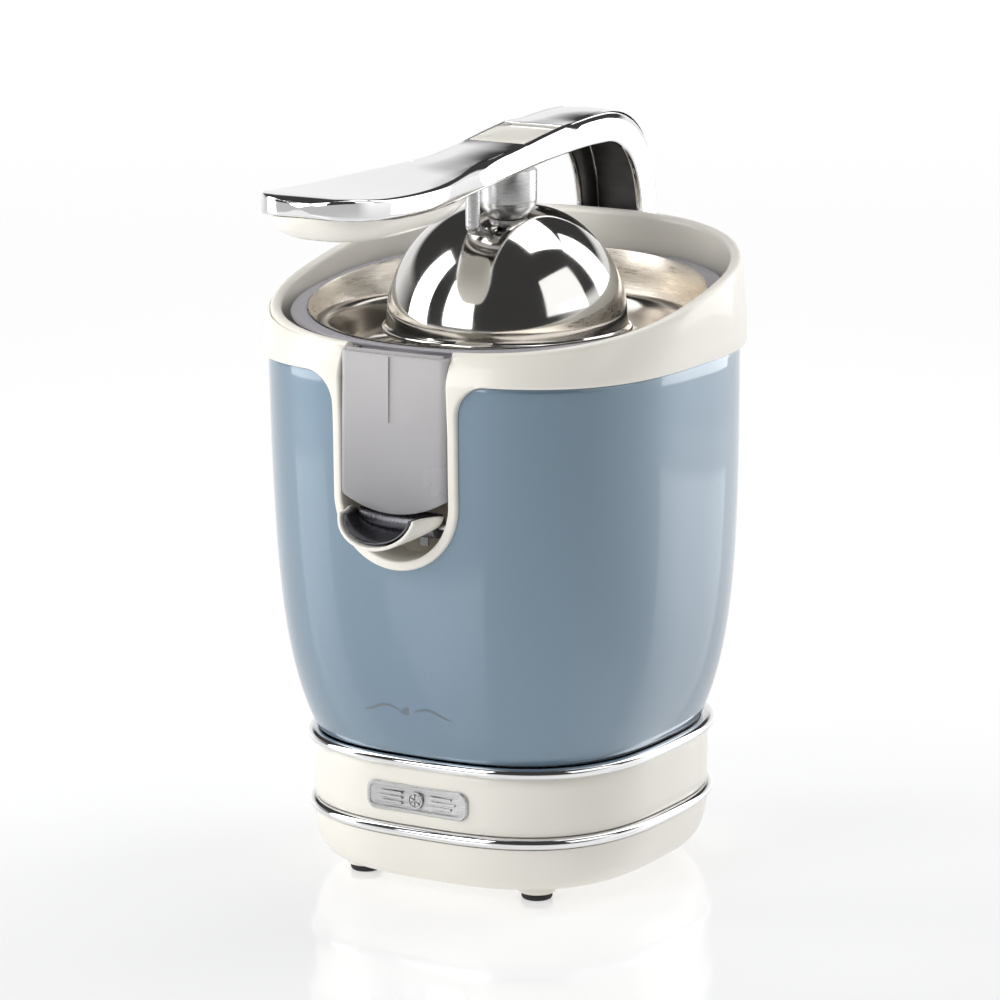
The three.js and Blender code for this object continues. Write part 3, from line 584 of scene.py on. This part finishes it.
RECESS_HALF, RECESS_TOP_Z = WINDOW_HALF + 1, 198
recess_outline = arc(0, FRAME_MID_Z, RECESS_HALF, 180, 360, 32)
recess_outline += [(RECESS_HALF, RECESS_TOP_Z), (-RECESS_HALF, RECESS_TOP_Z)]
# back wall of the spout's recess, in cream with painted shade
recess = skin([[at(x, POCKET_Y + depth, z) for x, z in recess_outline] for depth in (-0.2, 1.6)],
              caps=(True, True))
new_piece("spout_recess_wall", recess, SHADED_CREAM, "housing", "cream_plastic")


# ---------------------------------------------------------------- juice collector
def flange(lift=0.0):
    """Height of the sloping flange as a function of y, raised by lift."""
    return lambda y: 240 + 0.11 * y + lift


# half-width, half-depth, squareness and height of each loop
collector_rows = [
    (79.9, 79.8, 2, 202), (79.9, 79.8, 2, 226), (83.6, 79.9, 2.05, flange(-2.2)),
    (86.5, 79.9, 2.4, flange(-1.8)), (86.9, 80.2, 2.4, flange(-1.0)), (86.5, 79.9, 2.4, flange(-0.2)),
    (83.9, 79.3, 2.1, flange()),
    (82.9, 78.9, 2.05, flange(-0.3)), (82.4, 78.8, 2.05, flange(-1.2)), (79.6, 78.6, 2, 229.4),
    (76.6, 76.6, 2, 229), (76.5, 76.5, 2, 206), (74, 74, 2, 204), (17, 17, 2, 204), (16, 16, 2, 223),
    (14, 14, 2, 223), (14, 14, 2, 202)]
# bright steel sleeve over the sloping wall between the flange and the strainer
sleeve_rows = [
    (82.9, 79.0, 2.05, flange(0.25)), (82.5, 78.7, 2.05, flange(0.3)), (82.1, 78.4, 2.04, flange(-0.4)),
    (80.9, 78.2, 2.02, lambda y: mix(flange()(y), 230, 0.5)), (79.0, 77.9, 2, 230.9), (78.6, 77.6, 2, 230.3),
    (79.4, 78.4, 2, 230.0)]


def bowl_loops(loops):
    return [rounded_square((a, b, n, 0.0), z) for a, b, n, z in loops]


new_piece("collector_bowl", skin(bowl_loops(collector_rows), ring=True), CLEAR, "housing", "clear_plastic",
          "juice_collector")
new_piece("collector_sleeve", skin(bowl_loops(sleeve_rows)), SLEEVE, "housing", "stainless_steel")

PANEL_LOW_Z, PANEL_SAG_R, CORNER_R, FLAT_HALF = 165.0, 47, 3, 21


def panel_bottom(x):
    """Lower edge of the window: a shallow round, lowest in the middle."""
    return PANEL_LOW_Z + PANEL_SAG_R - math.sqrt(PANEL_SAG_R ** 2 - min(abs(x), 40) ** 2)


# section of the window from its left end round the front to its right end, (x, y)
left = [(-PANEL_HALF, y) for y in (-71, -75, -80, -84)]
left += [(-PANEL_HALF + CORNER_R - CORNER_R * math.cos(math.radians(a)),
          PANEL_Y + CORNER_R - CORNER_R * math.sin(math.radians(a))) for a in (15, 30, 45, 60, 75)]
middle = []
for k in range(17):
    x = mix(-FLAT_HALF, FLAT_HALF, k / 16)
    middle.append((x, PANEL_Y - 0.5 * (1 - (x / FLAT_HALF) ** 2)))
path = left + middle + [(-x, y) for x, y in reversed(left)]
panel_rows = []
for k in range(25):
    t = k / 24
    panel_rows.append([at(x, y + (0.8 * t * t if y < -80 else 0), mix(panel_bottom(x), PANEL_TOP, t))
                       for x, y in path])
for back, rise in ((0.5, 0.05), (2.5, 0.1), (5.0, 0.0)):
    panel_rows.append([at(x, min(y + back, -78.5) if y < -78.5 else y, PANEL_TOP + rise) for x, y in path])
window = new_piece("window_panel", skin(panel_rows, around=False), WINDOW, "housing", "clear_plastic",
                   sharp=60)
walled(window, 2.2)
softened(window, 0.5, 2)
rib_section = ((-2.0, -91.2), (-1.0, -91.2), (-0.9, -91.75), (-2.1, -91.75))
rib = skin([[at(x, y, z) for x, y in rib_section] for z in (202, 203, 228.5)], caps=(True, True))
new_piece("window_rib", rib, WINDOW, "housing", "clear_plastic")

# ---------------------------------------------------------------- strainer
STRAINER_AROUND = 192
basket_profile = [(18.0, 214.2), (22, 213.9), (27, 213.5), (30, 213.3), (34, 213.0), (38, 212.8), (42, 212.6),
                  (46, 212.5), (50, 212.4), (54, 212.3), (58, 212.2), (62, 212.2), (65, 212.4), (68, 213.6),
                  (70, 216), (71.2, 219), (72.2, 223), (73.2, 227), (73.8, 228.6), (74.6, 229.7),
                  (75.4, 230.2), (77, 230.5), (77.6, 230.3), (77.8, 229.8)]
basket = spun([(18.0, 224.8), (18.0, 220)] + basket_profile, STRAINER_AROUND)
slots = []
for face in basket.faces:
    centre = face.calc_center_median() - at(0, 0, 0)
    r = math.hypot(centre.x, centre.y) / MM
    step = int((math.atan2(centre.y, centre.x) % (2 * math.pi)) / (2 * math.pi) * STRAINER_AROUND)
    if 30 < r < 62 and int(r / 4) % 2 == 0 and step % 4 < 2:
        slots.append(face)
bmesh.ops.delete(basket, geom=slots, context="FACES")
strainer = new_piece("strainer_basket", basket, BASKET, "housing", "stainless_steel", "strainer", sharp=60)
walled(strainer, 0.7, 1)

# ---------------------------------------------------------------- reamer cone
RIBS = 8
# radius, height, height of the ribs as a share of the radius
cone_profile = [(30, 217.1, 0), (37.6, 217.1, 0), (38, 217.6, 0), (37.6, 218.4, 0), (35, 219.4, 0.01),
                (32.6, 221.5, 0.05), (31, 225, 0.07), (29, 231, 0.085), (26, 238, 0.095), (22, 245, 0.1),
                (17.5, 252, 0.1), (12.5, 258, 0.09), (8, 262.4, 0.07), (4.5, 265.2, 0.04), (2, 266.5, 0.0),
                (0.3, 266.9, 0)]
cone_rows = []
for r, z, rib_height in cone_profile:
    row = []
    for i in range(AROUND):
        turn = 2 * math.pi * i / AROUND
        ridge = (abs(math.cos(RIBS * turn / 2)) ** 2.2) * 2 - 1
        radius = r * (1 + rib_height * ridge)
        row.append(at(radius * math.cos(turn), radius * math.sin(turn), z))
    cone_rows.append(row)
new_piece("reamer_ribbed_cone", skin(cone_rows, caps=(True, True)), STEEL, "spindle", "stainless_steel",
          "reamer_cone")

# ---------------------------------------------------------------- dome and stem
def dome_arc(radius, start, end, step):
    """Points of the half-round, angles in degrees from straight up."""
    return [(radius * math.sin(math.radians(a)), DOME_Z + radius * math.cos(math.radians(a)))
            for a in range(start, end, step)]


inner_arc = dome_arc(DOME_R - DOME_WALL, 4, 90, 4)
lip = [(48.4, 228), (48.4, 226.4), (48.9, 225.8)] + arc(50.6, 227.0, 1.35, -120, 90, 10) + [(50.1, 228.9)]
dome_profile = [(0.3, inner_arc[0][1])] + inner_arc + lip + dome_arc(DOME_R, 90, 2, -3)
dome_profile.append((0.3, DOME_Z + DOME_R))
new_piece("pressing_dome", turned(dome_profile, 144), STEEL, "lever", "polished_chrome", "dome")
stem_profile = [(11.2, 277.2), (12.0, 278.6), (12.2, 279.4), (12.25, 280.4), (12.25, 292.0), (12.0, 292.6),
                (8, 292.8), (8, 299.8)]
new_piece("dome_stem_turned", turned(stem_profile), BRUSHED, "lever", "brushed_metal", "dome_stem")
pin_profile = [(2.6, 271.2), (2.95, 271.8), (3.0, 273), (3.0, 296.3)]
new_piece("lock_pin_turned", turned(pin_profile, 48, None, (0, PIN_Y, 0)), BRUSHED, "lock", "brushed_metal",
          "lock_pin")


# ---------------------------------------------------------------- springs
def coil(radius, wire, low_z, high_z, turns, y=0.0):
    """Wire ring spun up a helix, with both ends closed."""
    bm = bmesh.new()
    ring = bmesh.ops.create_circle(bm, segments=12, radius=wire * MM)["verts"]
    bmesh.ops.rotate(bm, verts=ring, cent=(0, 0, 0), matrix=Matrix.Rotation(math.pi / 2, 3, "X"))
    bmesh.ops.translate(bm, verts=ring, vec=at(radius, y, low_z + wire))
    first = bm.edges[:]
    steps = round(turns * 24)
    rise = (high_z - low_z - 2 * wire) * MM / steps
    spun = bmesh.ops.spin(bm, geom=first, cent=at(0, y, low_z), axis=(0, 0, 1), dvec=(0, 0, rise),
                          angle=2 * math.pi * turns, steps=steps)
    last = [e for e in spun["geom_last"] if isinstance(e, bmesh.types.BMEdge)]
    for loop in (first, last):
        bmesh.ops.contextual_create(bm, geom=loop)
    return bm


THRUST_LOW_Z, THRUST_HIGH_Z, PRESS_TRAVEL = 188.3, 196.3, 1.5
thrust = new_piece("thrust_spring_coil", coil(6.4, 0.7, THRUST_LOW_Z, THRUST_HIGH_Z, 3.5), BRUSHED, "housing",
                   "brushed_metal", "thrust_spring", sharp=60)
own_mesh(thrust)
LOCK_LOW_Z, LOCK_HIGH_Z, LOCK_TRAVEL = 296.7, 300.3, 1.5
lock_coil = new_piece("lock_spring_coil", coil(2.0, 0.4, LOCK_LOW_Z, LOCK_HIGH_Z, 3, PIN_Y), BRUSHED, "lever",
                      "brushed_metal", "lock_spring", sharp=60)
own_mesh(lock_coil)

# ---------------------------------------------------------------- lever
def curve(points, t):
    """Value that eases from one (key, value) point to the next."""
    for (k0, v0), (k1, v1) in zip(points, points[1:]):
        if t <= k1:
            u = max(0.0, (t - k0) / (k1 - k0))
            u = u * u * (3 - 2 * u)
            return mix(v0, v1, u)
    return points[-1][1]


def smooth_line(points, t):
    """Catmull-Rom through (key, value) pairs."""
    keys = [p[0] for p in points]
    values = [p[1] for p in points]
    if t <= keys[0]:
        return values[0]
    if t >= keys[-1]:
        return values[-1]
    i = max(k for k in range(len(keys) - 1) if keys[k] <= t)

    def slope(j):
        a, b = max(j - 1, 0), min(j + 1, len(keys) - 1)
        return (values[b] - values[a]) / (keys[b] - keys[a])

    h = keys[i + 1] - keys[i]
    u = (t - keys[i]) / h
    return ((2 * u ** 3 - 3 * u ** 2 + 1) * values[i] + (u ** 3 - 2 * u ** 2 + u) * h * slope(i)
            + (-2 * u ** 3 + 3 * u ** 2) * values[i + 1] + (u ** 3 - u ** 2) * h * slope(i + 1))


# (y, value) along the arm, from the tip of the hand rest to the top of the rear leg
HALF_WIDTH = [(-157.4, 6.0), (-156.6, 11.6), (-154.5, 17.0), (-151, 21.2), (-146, 24.0), (-139, 25.8),
              (-130, 26.6), (-116, 26.7), (-100, 26.2), (-88, 25.0), (-76, 22.8), (-64, 20.0), (-52, 17.8),
              (-40, 16.6), (-28, LEG_HALF), (-10, LEG_HALF), (60, LEG_HALF)]
TOP = [(-157.4, 299.0), (-156.4, 300.0), (-154, 300.6), (-148, 300.8), (-138, 300.0), (-125, 299.4),
       (-112, 299.1), (-98, 299.2), (-84, 299.7), (-68, 300.4), (-52, 301.6), (-36, 302.8), (-20, 304.0),
       (-9, 304.9), (5, 306.8), (21, 308.7), (36, 310.0), (49, 310.9), (57, 311.1)]
UNDER = [(-157.4, 294.8), (-156.4, 293.5), (-154, 292.7), (-148, 292.0), (-138, 291.3), (-125, 290.4),
         (-112, 290.1), (-98, 290.1), (-84, 290.3), (-68, 290.4), (-52, 290.8), (-36, 291.8), (-20, 293.3),
         (-5, 294.9), (5, 295.8), (21, 296.9), (40, 297.7), (57, 297.6)]
POCKET_FRONT, POCKET_BACK, POCKET_FLOOR_Z = -9.6, 21.3, 301.5       # seat of the release button


def lever_section(centre_top, centre_under, half, crown, pocket, channel, edge):
    """Closed loop across the lever, starting at the middle of its top and going round by the right."""
    top, under = Vector(centre_top), Vector(centre_under)
    thick = (top - under).length
    up = (top - under).normalized()
    lip_half = min(13.5, half - 2.4)
    # button pocket from the middle of the top outwards, then the rounded edge; (x, depth below the top)
    floor_half = min(13.3, half - 1.6)
    radius = min(edge, thick * 0.42, half * 0.5)
    side = [(0.0, -pocket), (floor_half * 0.5, -pocket), (floor_half - 0.5, -pocket), (floor_half, -pocket),
            (floor_half + 0.02, -min(pocket, 0.2)), (min(floor_half + 0.4, half - radius), 0.0)]
    side += arc(half - radius, -radius, radius, 90, 0, 7)
    # side wall, lower edge, then the channel back to the middle
    low_radius = min(1.6, thick * 0.2)
    side.append((half, -mix(radius, thick - low_radius, 0.5)))
    side += arc(half - low_radius, -thick + low_radius, low_radius, 0, -90, 4)
    side += [(lip_half + 0.5, -thick), (lip_half, -thick + min(channel, 0.4)),
             (lip_half - 0.1, -thick + channel * 0.5), (lip_half - 0.4, -thick + channel * 0.93),
             (lip_half - 1.4, -thick + channel), (lip_half * 0.5, -thick + channel), (0.0, -thick + channel)]

    def place(x, down):
        rise = -crown * (x / half) ** 2 if down > -thick * 0.5 else 0.0
        p = top + up * (down + rise)
        return at(x, p.x, p.y)

    return [place(x, d) for x, d in side] + [place(-x, d) for x, d in reversed(side[1:-1])]


CROWN = [(-157, 0.2), (-60, 0.5), (-40, 1.1), (-14, 0.5), (-10, 0.1), (22, 0.1), (34, 1.4), (57, 1.6)]
EDGE = [(-157, 1.2), (-130, 1.8), (-70, 2.2), (-36, 4.6), (-14, 3.4), (-10, 2.5), (22, 2.5), (32, 5.4),
        (57, 6.0)]
stations = [-157.4, -157.1, -156.6, -155.6, -154.2, -152.4, -150, -147, -143, -138, -132, -125, -117, -109,
            -101, -93, -85, -77, -69, -61, -53, -45, -37, -29, -21, -14, -10.2, -9.7, -9.5, -5, 0, 6, 12, 17,
            20.5, 21.2, 21.4, 22, 24, 30, 36, 43, 50, 57]
lever_rows = []
for y in stations:
    top_z = smooth_line(TOP, y)
    pocket = top_z - POCKET_FLOOR_Z if POCKET_FRONT <= y <= POCKET_BACK else 0.0
    channel = curve([(30, 0.0), (57, 1.0)], y) if y > 48 else 0.0
    lever_rows.append(lever_section((y, top_z), (y, smooth_line(UNDER, y)), smooth_line(HALF_WIDTH, y),
                                    curve(CROWN, y), pocket, channel, curve(EDGE, y)))


def bezier(p0, p1, p2, p3, t):
    a, b, c, d = (1 - t) ** 3, 3 * t * (1 - t) ** 2, 3 * t * t * (1 - t), t ** 3
    return (a * p0[0] + b * p1[0] + c * p2[0] + d * p3[0], a * p0[1] + b * p1[1] + c * p2[1] + d * p3[1])


# rear leg: two curves over the arch, then straight down to the round hinge boss
OUTER_ARCH = ((57, 311.1), (86, 311.3), (102.9, 295), (102.7, 258))
INNER_ARCH = ((57, 297.6), (74, 296.8), (85.0, 284), (85.5, 258))
CHANNEL = [(0.0, 1.0), (0.16, 9.5), (0.35, 13.6), (1.0, 14.2)]
LEG_FRONT, LEG_BACK, BOSS_R = 85.4, 102.7, 8.6
for k in range(1, 25):
    t = k / 24
    lever_rows.append(lever_section(bezier(*OUTER_ARCH, t), bezier(*INNER_ARCH, t), LEG_HALF,
                                    mix(1.6, 0.0, t), 0.0, curve(CHANNEL, t), mix(6.0, 4.6, t)))
for z in (252, 246, 242, 240):
    lever_rows.append(lever_section((LEG_BACK, z), (LEG_FRONT, z), LEG_HALF, 0.0, 0.0, 14.2, 4.6))
for a in range(15, 90, 15):
    c, s = math.cos(math.radians(a)), math.sin(math.radians(a))
    z = HINGE_Z - BOSS_R * s
    lever_rows.append(lever_section((HINGE_Y + BOSS_R * c, z), (HINGE_Y - BOSS_R * c, z), LEG_HALF, 0.0, 0.0,
                                    max(0.6, 17.2 * c - 3.0), min(4.4, 6 * c)))
lever = skin(lever_rows, caps=(True, True))
new_piece("lever_arm_plated", lever, CHROME, "lever", "polished_chrome", "lever_arm", sharp=48)

# dark sheet on the floor of the rear leg's channel: painted shade and reflection inside the chrome leg
FLOOR_XS = (-12.9, -12.7, -6, 0, 6, 12.7, 12.9)            # the two outer points stand up the walls
floor_rows = []
for k in range(21):
    t = mix(0.14, 1.0, k / 20)
    outer, inner = Vector(bezier(*OUTER_ARCH, t)), Vector(bezier(*INNER_ARCH, t))
    across = (outer - inner).normalized()
    base = inner + across * (curve(CHANNEL, t) - 0.25)
    front = inner + across * 1.2
    places = [front] + [base] * 5 + [front]
    floor_rows.append([at(x, p.x, p.y) for x, p in zip(FLOOR_XS, places)])
for z in (250, 242):
    floor_rows.append([at(x, y, z) for x, y in zip(FLOOR_XS, [87] + [99.3] * 5 + [87])])
channel_shade_piece = new_piece("leg_channel_painted_shade", skin(floor_rows, around=False), CHANNEL_SHADE, "lever",
                          "polished_chrome", sharp=30)
walled(channel_shade_piece, 0.2, 0)

# grip pad under the hand rest
PAD_HALF = [(-155.2, 2.0), (-154.4, 8.0), (-152, 13.4), (-148, 18.2), (-142, 21.8), (-134, 24.0),
            (-122, 24.9), (-106, 24.8), (-92, 23.9), (-80, 21.8), (-70, 19.4), (-60, 16.4), (-53, 13.4),
            (-50, 10.6)]
PAD_LOW = [(-155.2, 290.4), (-152, 286.2), (-147, 283.4), (-140, 281.7), (-130, 280.9), (-110, 280.6),
           (-90, 280.7), (-78, 281.3), (-68, 282.8), (-60, 285.0), (-54, 287.2), (-50, 288.8)]
pad_stations = [-155.2, -154.9, -154.3, -153.2, -151.6, -149.4, -146.6, -143, -138, -132, -125, -117, -109,
                -101, -93, -86, -80, -74, -69, -64, -60, -56, -53, -51, -50]
pad_rows = []
for y in pad_stations:
    half, low_z, high_z = smooth_line(PAD_HALF, y), smooth_line(PAD_LOW, y), smooth_line(UNDER, y) - 0.15
    row = []
    for i in range(48):
        c, s = math.cos(2 * math.pi * i / 48), math.sin(2 * math.pi * i / 48)
        fullness = 0.5 if s > 0 else 0.72
        x = half * math.copysign(abs(c) ** fullness, c)
        z = high_z - 0.3 * (1 - s) if s > 0 else mix(high_z, low_z, abs(s) ** fullness)
        row.append(at(x, y, z))
    pad_rows.append(row)
new_piece("grip_pad_moulded", skin(pad_rows, caps=(True, True)), CREAM, "lever", "cream_plastic", "grip_pad")

# release button: a wedge that rises to the rear
BUTTON_LOW_Z = 301.7
button_top = ((-9.3, 304.2), (-9.1, 304.9), (-8.4, 305.3), (-2, 306.1), (6, 307.0), (13, 307.6),
              (16.6, 307.7), (17.6, 307.3), (17.9, 306.4))
button_side = ((12.95, -0.8), (12.6, -0.2), (11.8, 0.0), (6, 0.12))
button_edge = [(-x, rise) for x, rise in button_side] + [(0, 0.16)] + list(reversed(button_side))
button_rows = []
for y, z in button_top:
    row = [at(x, y, z + rise) for x, rise in button_edge]
    button_rows.append([at(-12.95, y, BUTTON_LOW_Z)] + row + [at(12.95, y, BUTTON_LOW_Z)])
new_piece("release_button_moulded", skin(button_rows, caps=(True, True)), CREAM, "release", "cream_plastic",
          "release_button")

# ---------------------------------------------------------------- spout
def spout_section(half, depth, top):
    """Half-round section, (x, z)."""
    turns = [math.pi + math.pi * k / 24 for k in range(25)]
    return [(half * math.cos(a), top + depth * math.sin(a)) for a in turns]


scoop_stations = ((-86.5, 20.5, 8.0, 165.6), (-88.5, 20.2, 9.0, 165.8), (-91, 19.3, 10.0, SPOUT_TOP),
                  (-94, 18.0, 10.9, SPOUT_TOP), (-97, 17.0, 11.3, SPOUT_TOP), (-100, 16.6, 11.4, SPOUT_TOP))
scoop_rows = [[at(x, y, z) for x, z in spout_section(half, depth, top)]
              for y, half, depth, top in scoop_stations]
SCOOP_DEPTH = 11.5
for t in (0.5, 1.0):
    row = []
    for x, z in spout_section(16.5, SCOOP_DEPTH, SPOUT_TOP):
        lip_y = -103.0 - 5.6 * (SPOUT_TOP - z) / SCOOP_DEPTH
        row.append(at(x, mix(-100, lip_y, t), z))
    scoop_rows.append(row)
scoop = new_piece("spout_scoop", skin(scoop_rows, around=False), CREAM, "spout", "cream_plastic",
                  "spout_trough", sharp=60)
walled(scoop, 1.5, 1)
softened(scoop, 0.5, 3)

lining_stations = ((-87, 18.6, 6.4, 165.0), (-91, 17.6, 8.2, 165.4), (-96, 15.6, 9.4, 165.6),
                   (-100, 14.9, 9.8, 165.7))
lining_rows = [[at(x, y, z) for x, z in spout_section(half, depth, top)]
               for y, half, depth, top in lining_stations]
lining_rows.append([at(x, -102.4 - 4.6 * (165.7 - z) / 9.8, z) for x, z in spout_section(14.7, 9.8, 165.7)])
lining = new_piece("spout_steel_lining", skin(lining_rows, around=False), SPOUT_SHADE_STEEL, "spout", "stainless_steel",
                   "spout_lining", sharp=60)
walled(lining, 0.4, 1)

# barrel in the darkened steel: painted shade behind the spout
barrel_profile = [(3.6, -18.5), (5.0, -17.9), (5.2, -16.6), (5.2, 16.6), (5.0, 17.9), (3.6, 18.5)]
new_piece("spout_barrel_painted_shade", turned(barrel_profile, 48, None, (0, -84, 160.5), "X"), SPOUT_SHADE_STEEL, "spout",
          "stainless_steel")
tab_section = ((9.0, -84), (12.6, -84), (12.6, -82.8), (9.0, -82.8))
tab = skin([[at(x, y, z) for x, y in tab_section] for z in (151.8, 152.2, 157)], caps=(True, True))
new_piece("spout_stop_tab", tab, WINDOW, "spout", "cream_plastic")

# ---------------------------------------------------------------- badge, gland, hinge pin
def band_front(x):
    return front_of((BAND_HALF, BAND_HALF + BAND_DEEPER, BAND_POWER, BAND_Y), x)


def pill(half_w, half_h, r, count=64):
    """Rectangle with round corners, (x, z)."""
    points = []
    for sx, sz, start in ((1, -1, -90), (1, 1, 0), (-1, 1, 90), (-1, -1, 180)):
        points += arc(sx * (half_w - r), sz * (half_h - r), r, start, start + 90, count // 4 - 1)
    return points


badge_rows = []
for shrink, out in ((0.0, 0.2), (0.0, 1.0), (0.35, 1.45), (1.0, 1.6), (1.7, 1.45), (2.0, 0.95), (3.2, 0.9)):
    badge_rows.append([at(x, band_front(x) - out, BADGE_Z + z)
                       for x, z in pill(24 - shrink, 6 - shrink, max(4.2 - shrink, 0.6))])
badge = skin(badge_rows, caps=(True, True))
# three bars on each side of a ring with six petals
for side in (-1, 1):
    for dz in (-2.0, 0.0, 2.0):
        near, far = 6.5, 18.5 - abs(dz) * 0.9
        middle_x = side * (near + far) / 2
        outline = pill((far - near) / 2, 0.55, 0.5, 24)
        skin([[at(middle_x + x, band_front(middle_x + x) - out, BADGE_Z + dz + z) for x, z in outline]
              for out in (0.8, 1.3)], badge, caps=(True, True))
ring_rows = []
for r, out in ((3.4, 0.8), (3.4, 1.45), (2.8, 1.45), (2.8, 0.8)):
    ring_rows.append([at(x, band_front(0) - out, z) for x, z in arc(0, BADGE_Z, r, 0, 351, 39)])
skin(ring_rows, badge, ring=True)
petal = ((0.5, 0.0), (2.3, 0.9), (2.45, 0.0), (2.3, -0.9))
for k in range(6):
    c, s = math.cos(2 * math.pi * k / 6), math.sin(2 * math.pi * k / 6)
    skin([[at(c * u - s * w, band_front(0) - out, BADGE_Z + s * u + c * w) for u, w in petal]
          for out in (0.8, 1.35)], badge, caps=(True, True))
new_piece("badge_plate_embossed", badge, BRUSHED, "housing", "brushed_metal", "badge_plate", sharp=30)

gland_profile = [(4.8, 72), (4.8, 82.8), (7.2, 83.0), (7.4, 83.8), (7.2, 84.6), (6.6, 85.0), (6.4, 86.4),
                 (6.2, 86.8), (6.0, 88.4), (5.6, 89.4), (3.4, 89.9), (3.2, 88.6)]
new_piece("cord_gland_moulded", turned(gland_profile, 48, None, (0, 0, BADGE_Z), "Y"), RUBBER, "housing",
          "black_rubber", "cord_gland")
hinge_profile = [(2.6, -24.5), (2.95, -24.2), (2.95, 24.2), (2.6, 24.5)]
new_piece("hinge_pin_turned", turned(hinge_profile, 48, None, (0, HINGE_Y, HINGE_Z), "X"), BRUSHED, "housing",
          "brushed_metal", "hinge_pin")

# printed flourish low on the front of the body: a leaf between two fine curved lines
PRINT_Z = 81.0


def ribbon_row(x, z, wide, slope=0.0):
    """Across one thin printed line: its width is along z, and it lies on the front of the body."""
    return [at(x, front_of(body_size(z + dz, lift), x), z + slope * x + dz)
            for dz, lift in ((-wide, 0.02), (-wide, 0.06), (wide, 0.06), (wide, 0.02))]


flourish = None
for side in (-1, 1):
    rows = []
    for k in range(25):
        t = k / 24
        wide = 0.55 * math.sin(math.pi * min(1.0, t * 1.02 + 0.02)) ** 0.6 + 0.08
        rows.append(ribbon_row(side * mix(3.5, 21.0, t), PRINT_Z + 1.7 * math.sin(t * math.pi * 1.5), wide))
    flourish = skin(rows, flourish, caps=(True, True))
rows = [ribbon_row(mix(-3.0, 3.0, k / 24), PRINT_Z, 1.7 * math.sin(math.pi * k / 24) ** 0.8 + 0.05, 0.25)
        for k in range(25)]
skin(rows, flourish, caps=(True, True))
new_piece("body_print", flourish, PRINT, "housing", "lacquered_body")

# ---------------------------------------------------------------- stage, light and camera
def plain(name, colour, roughness, strength=0.0):
    mat = bpy.data.materials.new(name)
    mat.use_nodes = True
    shader = mat.node_tree.nodes["Principled BSDF"]
    shader.inputs["Base Color"].default_value = (*colour, 1)
    shader.inputs["Roughness"].default_value = roughness
    shader.inputs["Emission Color"].default_value = (1, 1, 1, 1)
    shader.inputs["Emission Strength"].default_value = strength
    return mat


floor_bm = bmesh.new()
bmesh.ops.create_grid(floor_bm, x_segments=2, y_segments=2, size=6.0)
floor_mesh = bpy.data.meshes.new("floor")
floor_bm.to_mesh(floor_mesh)
floor_bm.free()
floor = bpy.data.objects.new("floor", floor_mesh)
bpy.context.scene.collection.objects.link(floor)
floor_mesh.materials.append(plain("pale_floor", (0.45, 0.45, 0.45), 0.10, 0.52))

target = at(-2.89, -0.83, 153.47)


def softbox(name, heading, distance, z, size, power, tilt_to=None):
    """Rectangular light facing the object; heading is (x, y) seen from above."""
    lamp = bpy.data.lights.new(name, "AREA")
    lamp.shape = "RECTANGLE"
    lamp.size, lamp.size_y = size
    lamp.energy = power
    holder = bpy.data.objects.new(name, lamp)
    bpy.context.scene.collection.objects.link(holder)
    x, y = heading
    reach = distance / math.hypot(x, y)
    place = Vector((x * reach, y * reach, z))
    holder.location = place
    aim = Vector((0, 0, z if tilt_to is None else tilt_to))
    holder.rotation_euler = (aim - place).to_track_quat("-Z", "Y").to_euler()
    holder.visible_camera = False


softbox("left_card", (-0.88, -0.43), 1.0, 0.72, (0.45, 1.36), 6.8)
softbox("front_left_card", (-0.30, -0.95), 1.15, 0.78, (0.62, 1.1), 9.2)
softbox("right_card", (0.97, 0.06), 1.15, 0.90, (1.0, 0.9), 3.8)
softbox("back_right_card", (0.5, 0.84), 1.0, 0.72, (0.5, 1.36), 5.2)
softbox("overhead", (0.05, 0.35), 0.5, 1.6, (1.2, 0.9), 9.6, 0.2)

world = bpy.data.worlds.new("studio")
bpy.context.scene.world = world
world.use_nodes = True
nodes, links = world.node_tree.nodes, world.node_tree.links
heading = nodes.new("ShaderNodeTexCoord")
split = nodes.new("ShaderNodeSeparateXYZ")
links.new(heading.outputs["Generated"], split.inputs["Vector"])


def ramp(source, start, end, low, high):
    node = nodes.new("ShaderNodeMapRange")
    node.inputs["From Min"].default_value = start
    node.inputs["From Max"].default_value = end
    node.inputs["To Min"].default_value = low
    node.inputs["To Max"].default_value = high
    links.new(source, node.inputs["Value"])
    return node.outputs["Result"]


# white wall behind, up to a soft top edge; dark room in front and above
behind = ramp(split.outputs["Y"], -0.2, 0.35, 0.0, 1.0)
below = ramp(split.outputs["Z"], 0.24, 0.34, 1.0, 0.0)
wall = nodes.new("ShaderNodeMath")
wall.operation = "MULTIPLY"
links.new(behind, wall.inputs[0])
links.new(below, wall.inputs[1])
links.new(ramp(wall.outputs["Value"], 0.0, 1.0, 0.05, 0.95), nodes["Background"].inputs["Strength"])
nodes["Background"].inputs["Color"].default_value = (1, 1, 1, 1)

camera_data = bpy.data.cameras.new("camera")
camera_data.lens = 172.07
camera_data.sensor_width = 36
camera_data.clip_end = 50
camera = bpy.data.objects.new("camera", camera_data)
bpy.context.scene.collection.objects.link(camera)
camera.location = at(983.3, -1675.1, 573.8)
camera.rotation_euler = (target - camera.location).to_track_quat("-Z", "Y").to_euler()
bpy.context.scene.camera = camera
bpy.context.scene.view_settings.view_transform = "Standard"
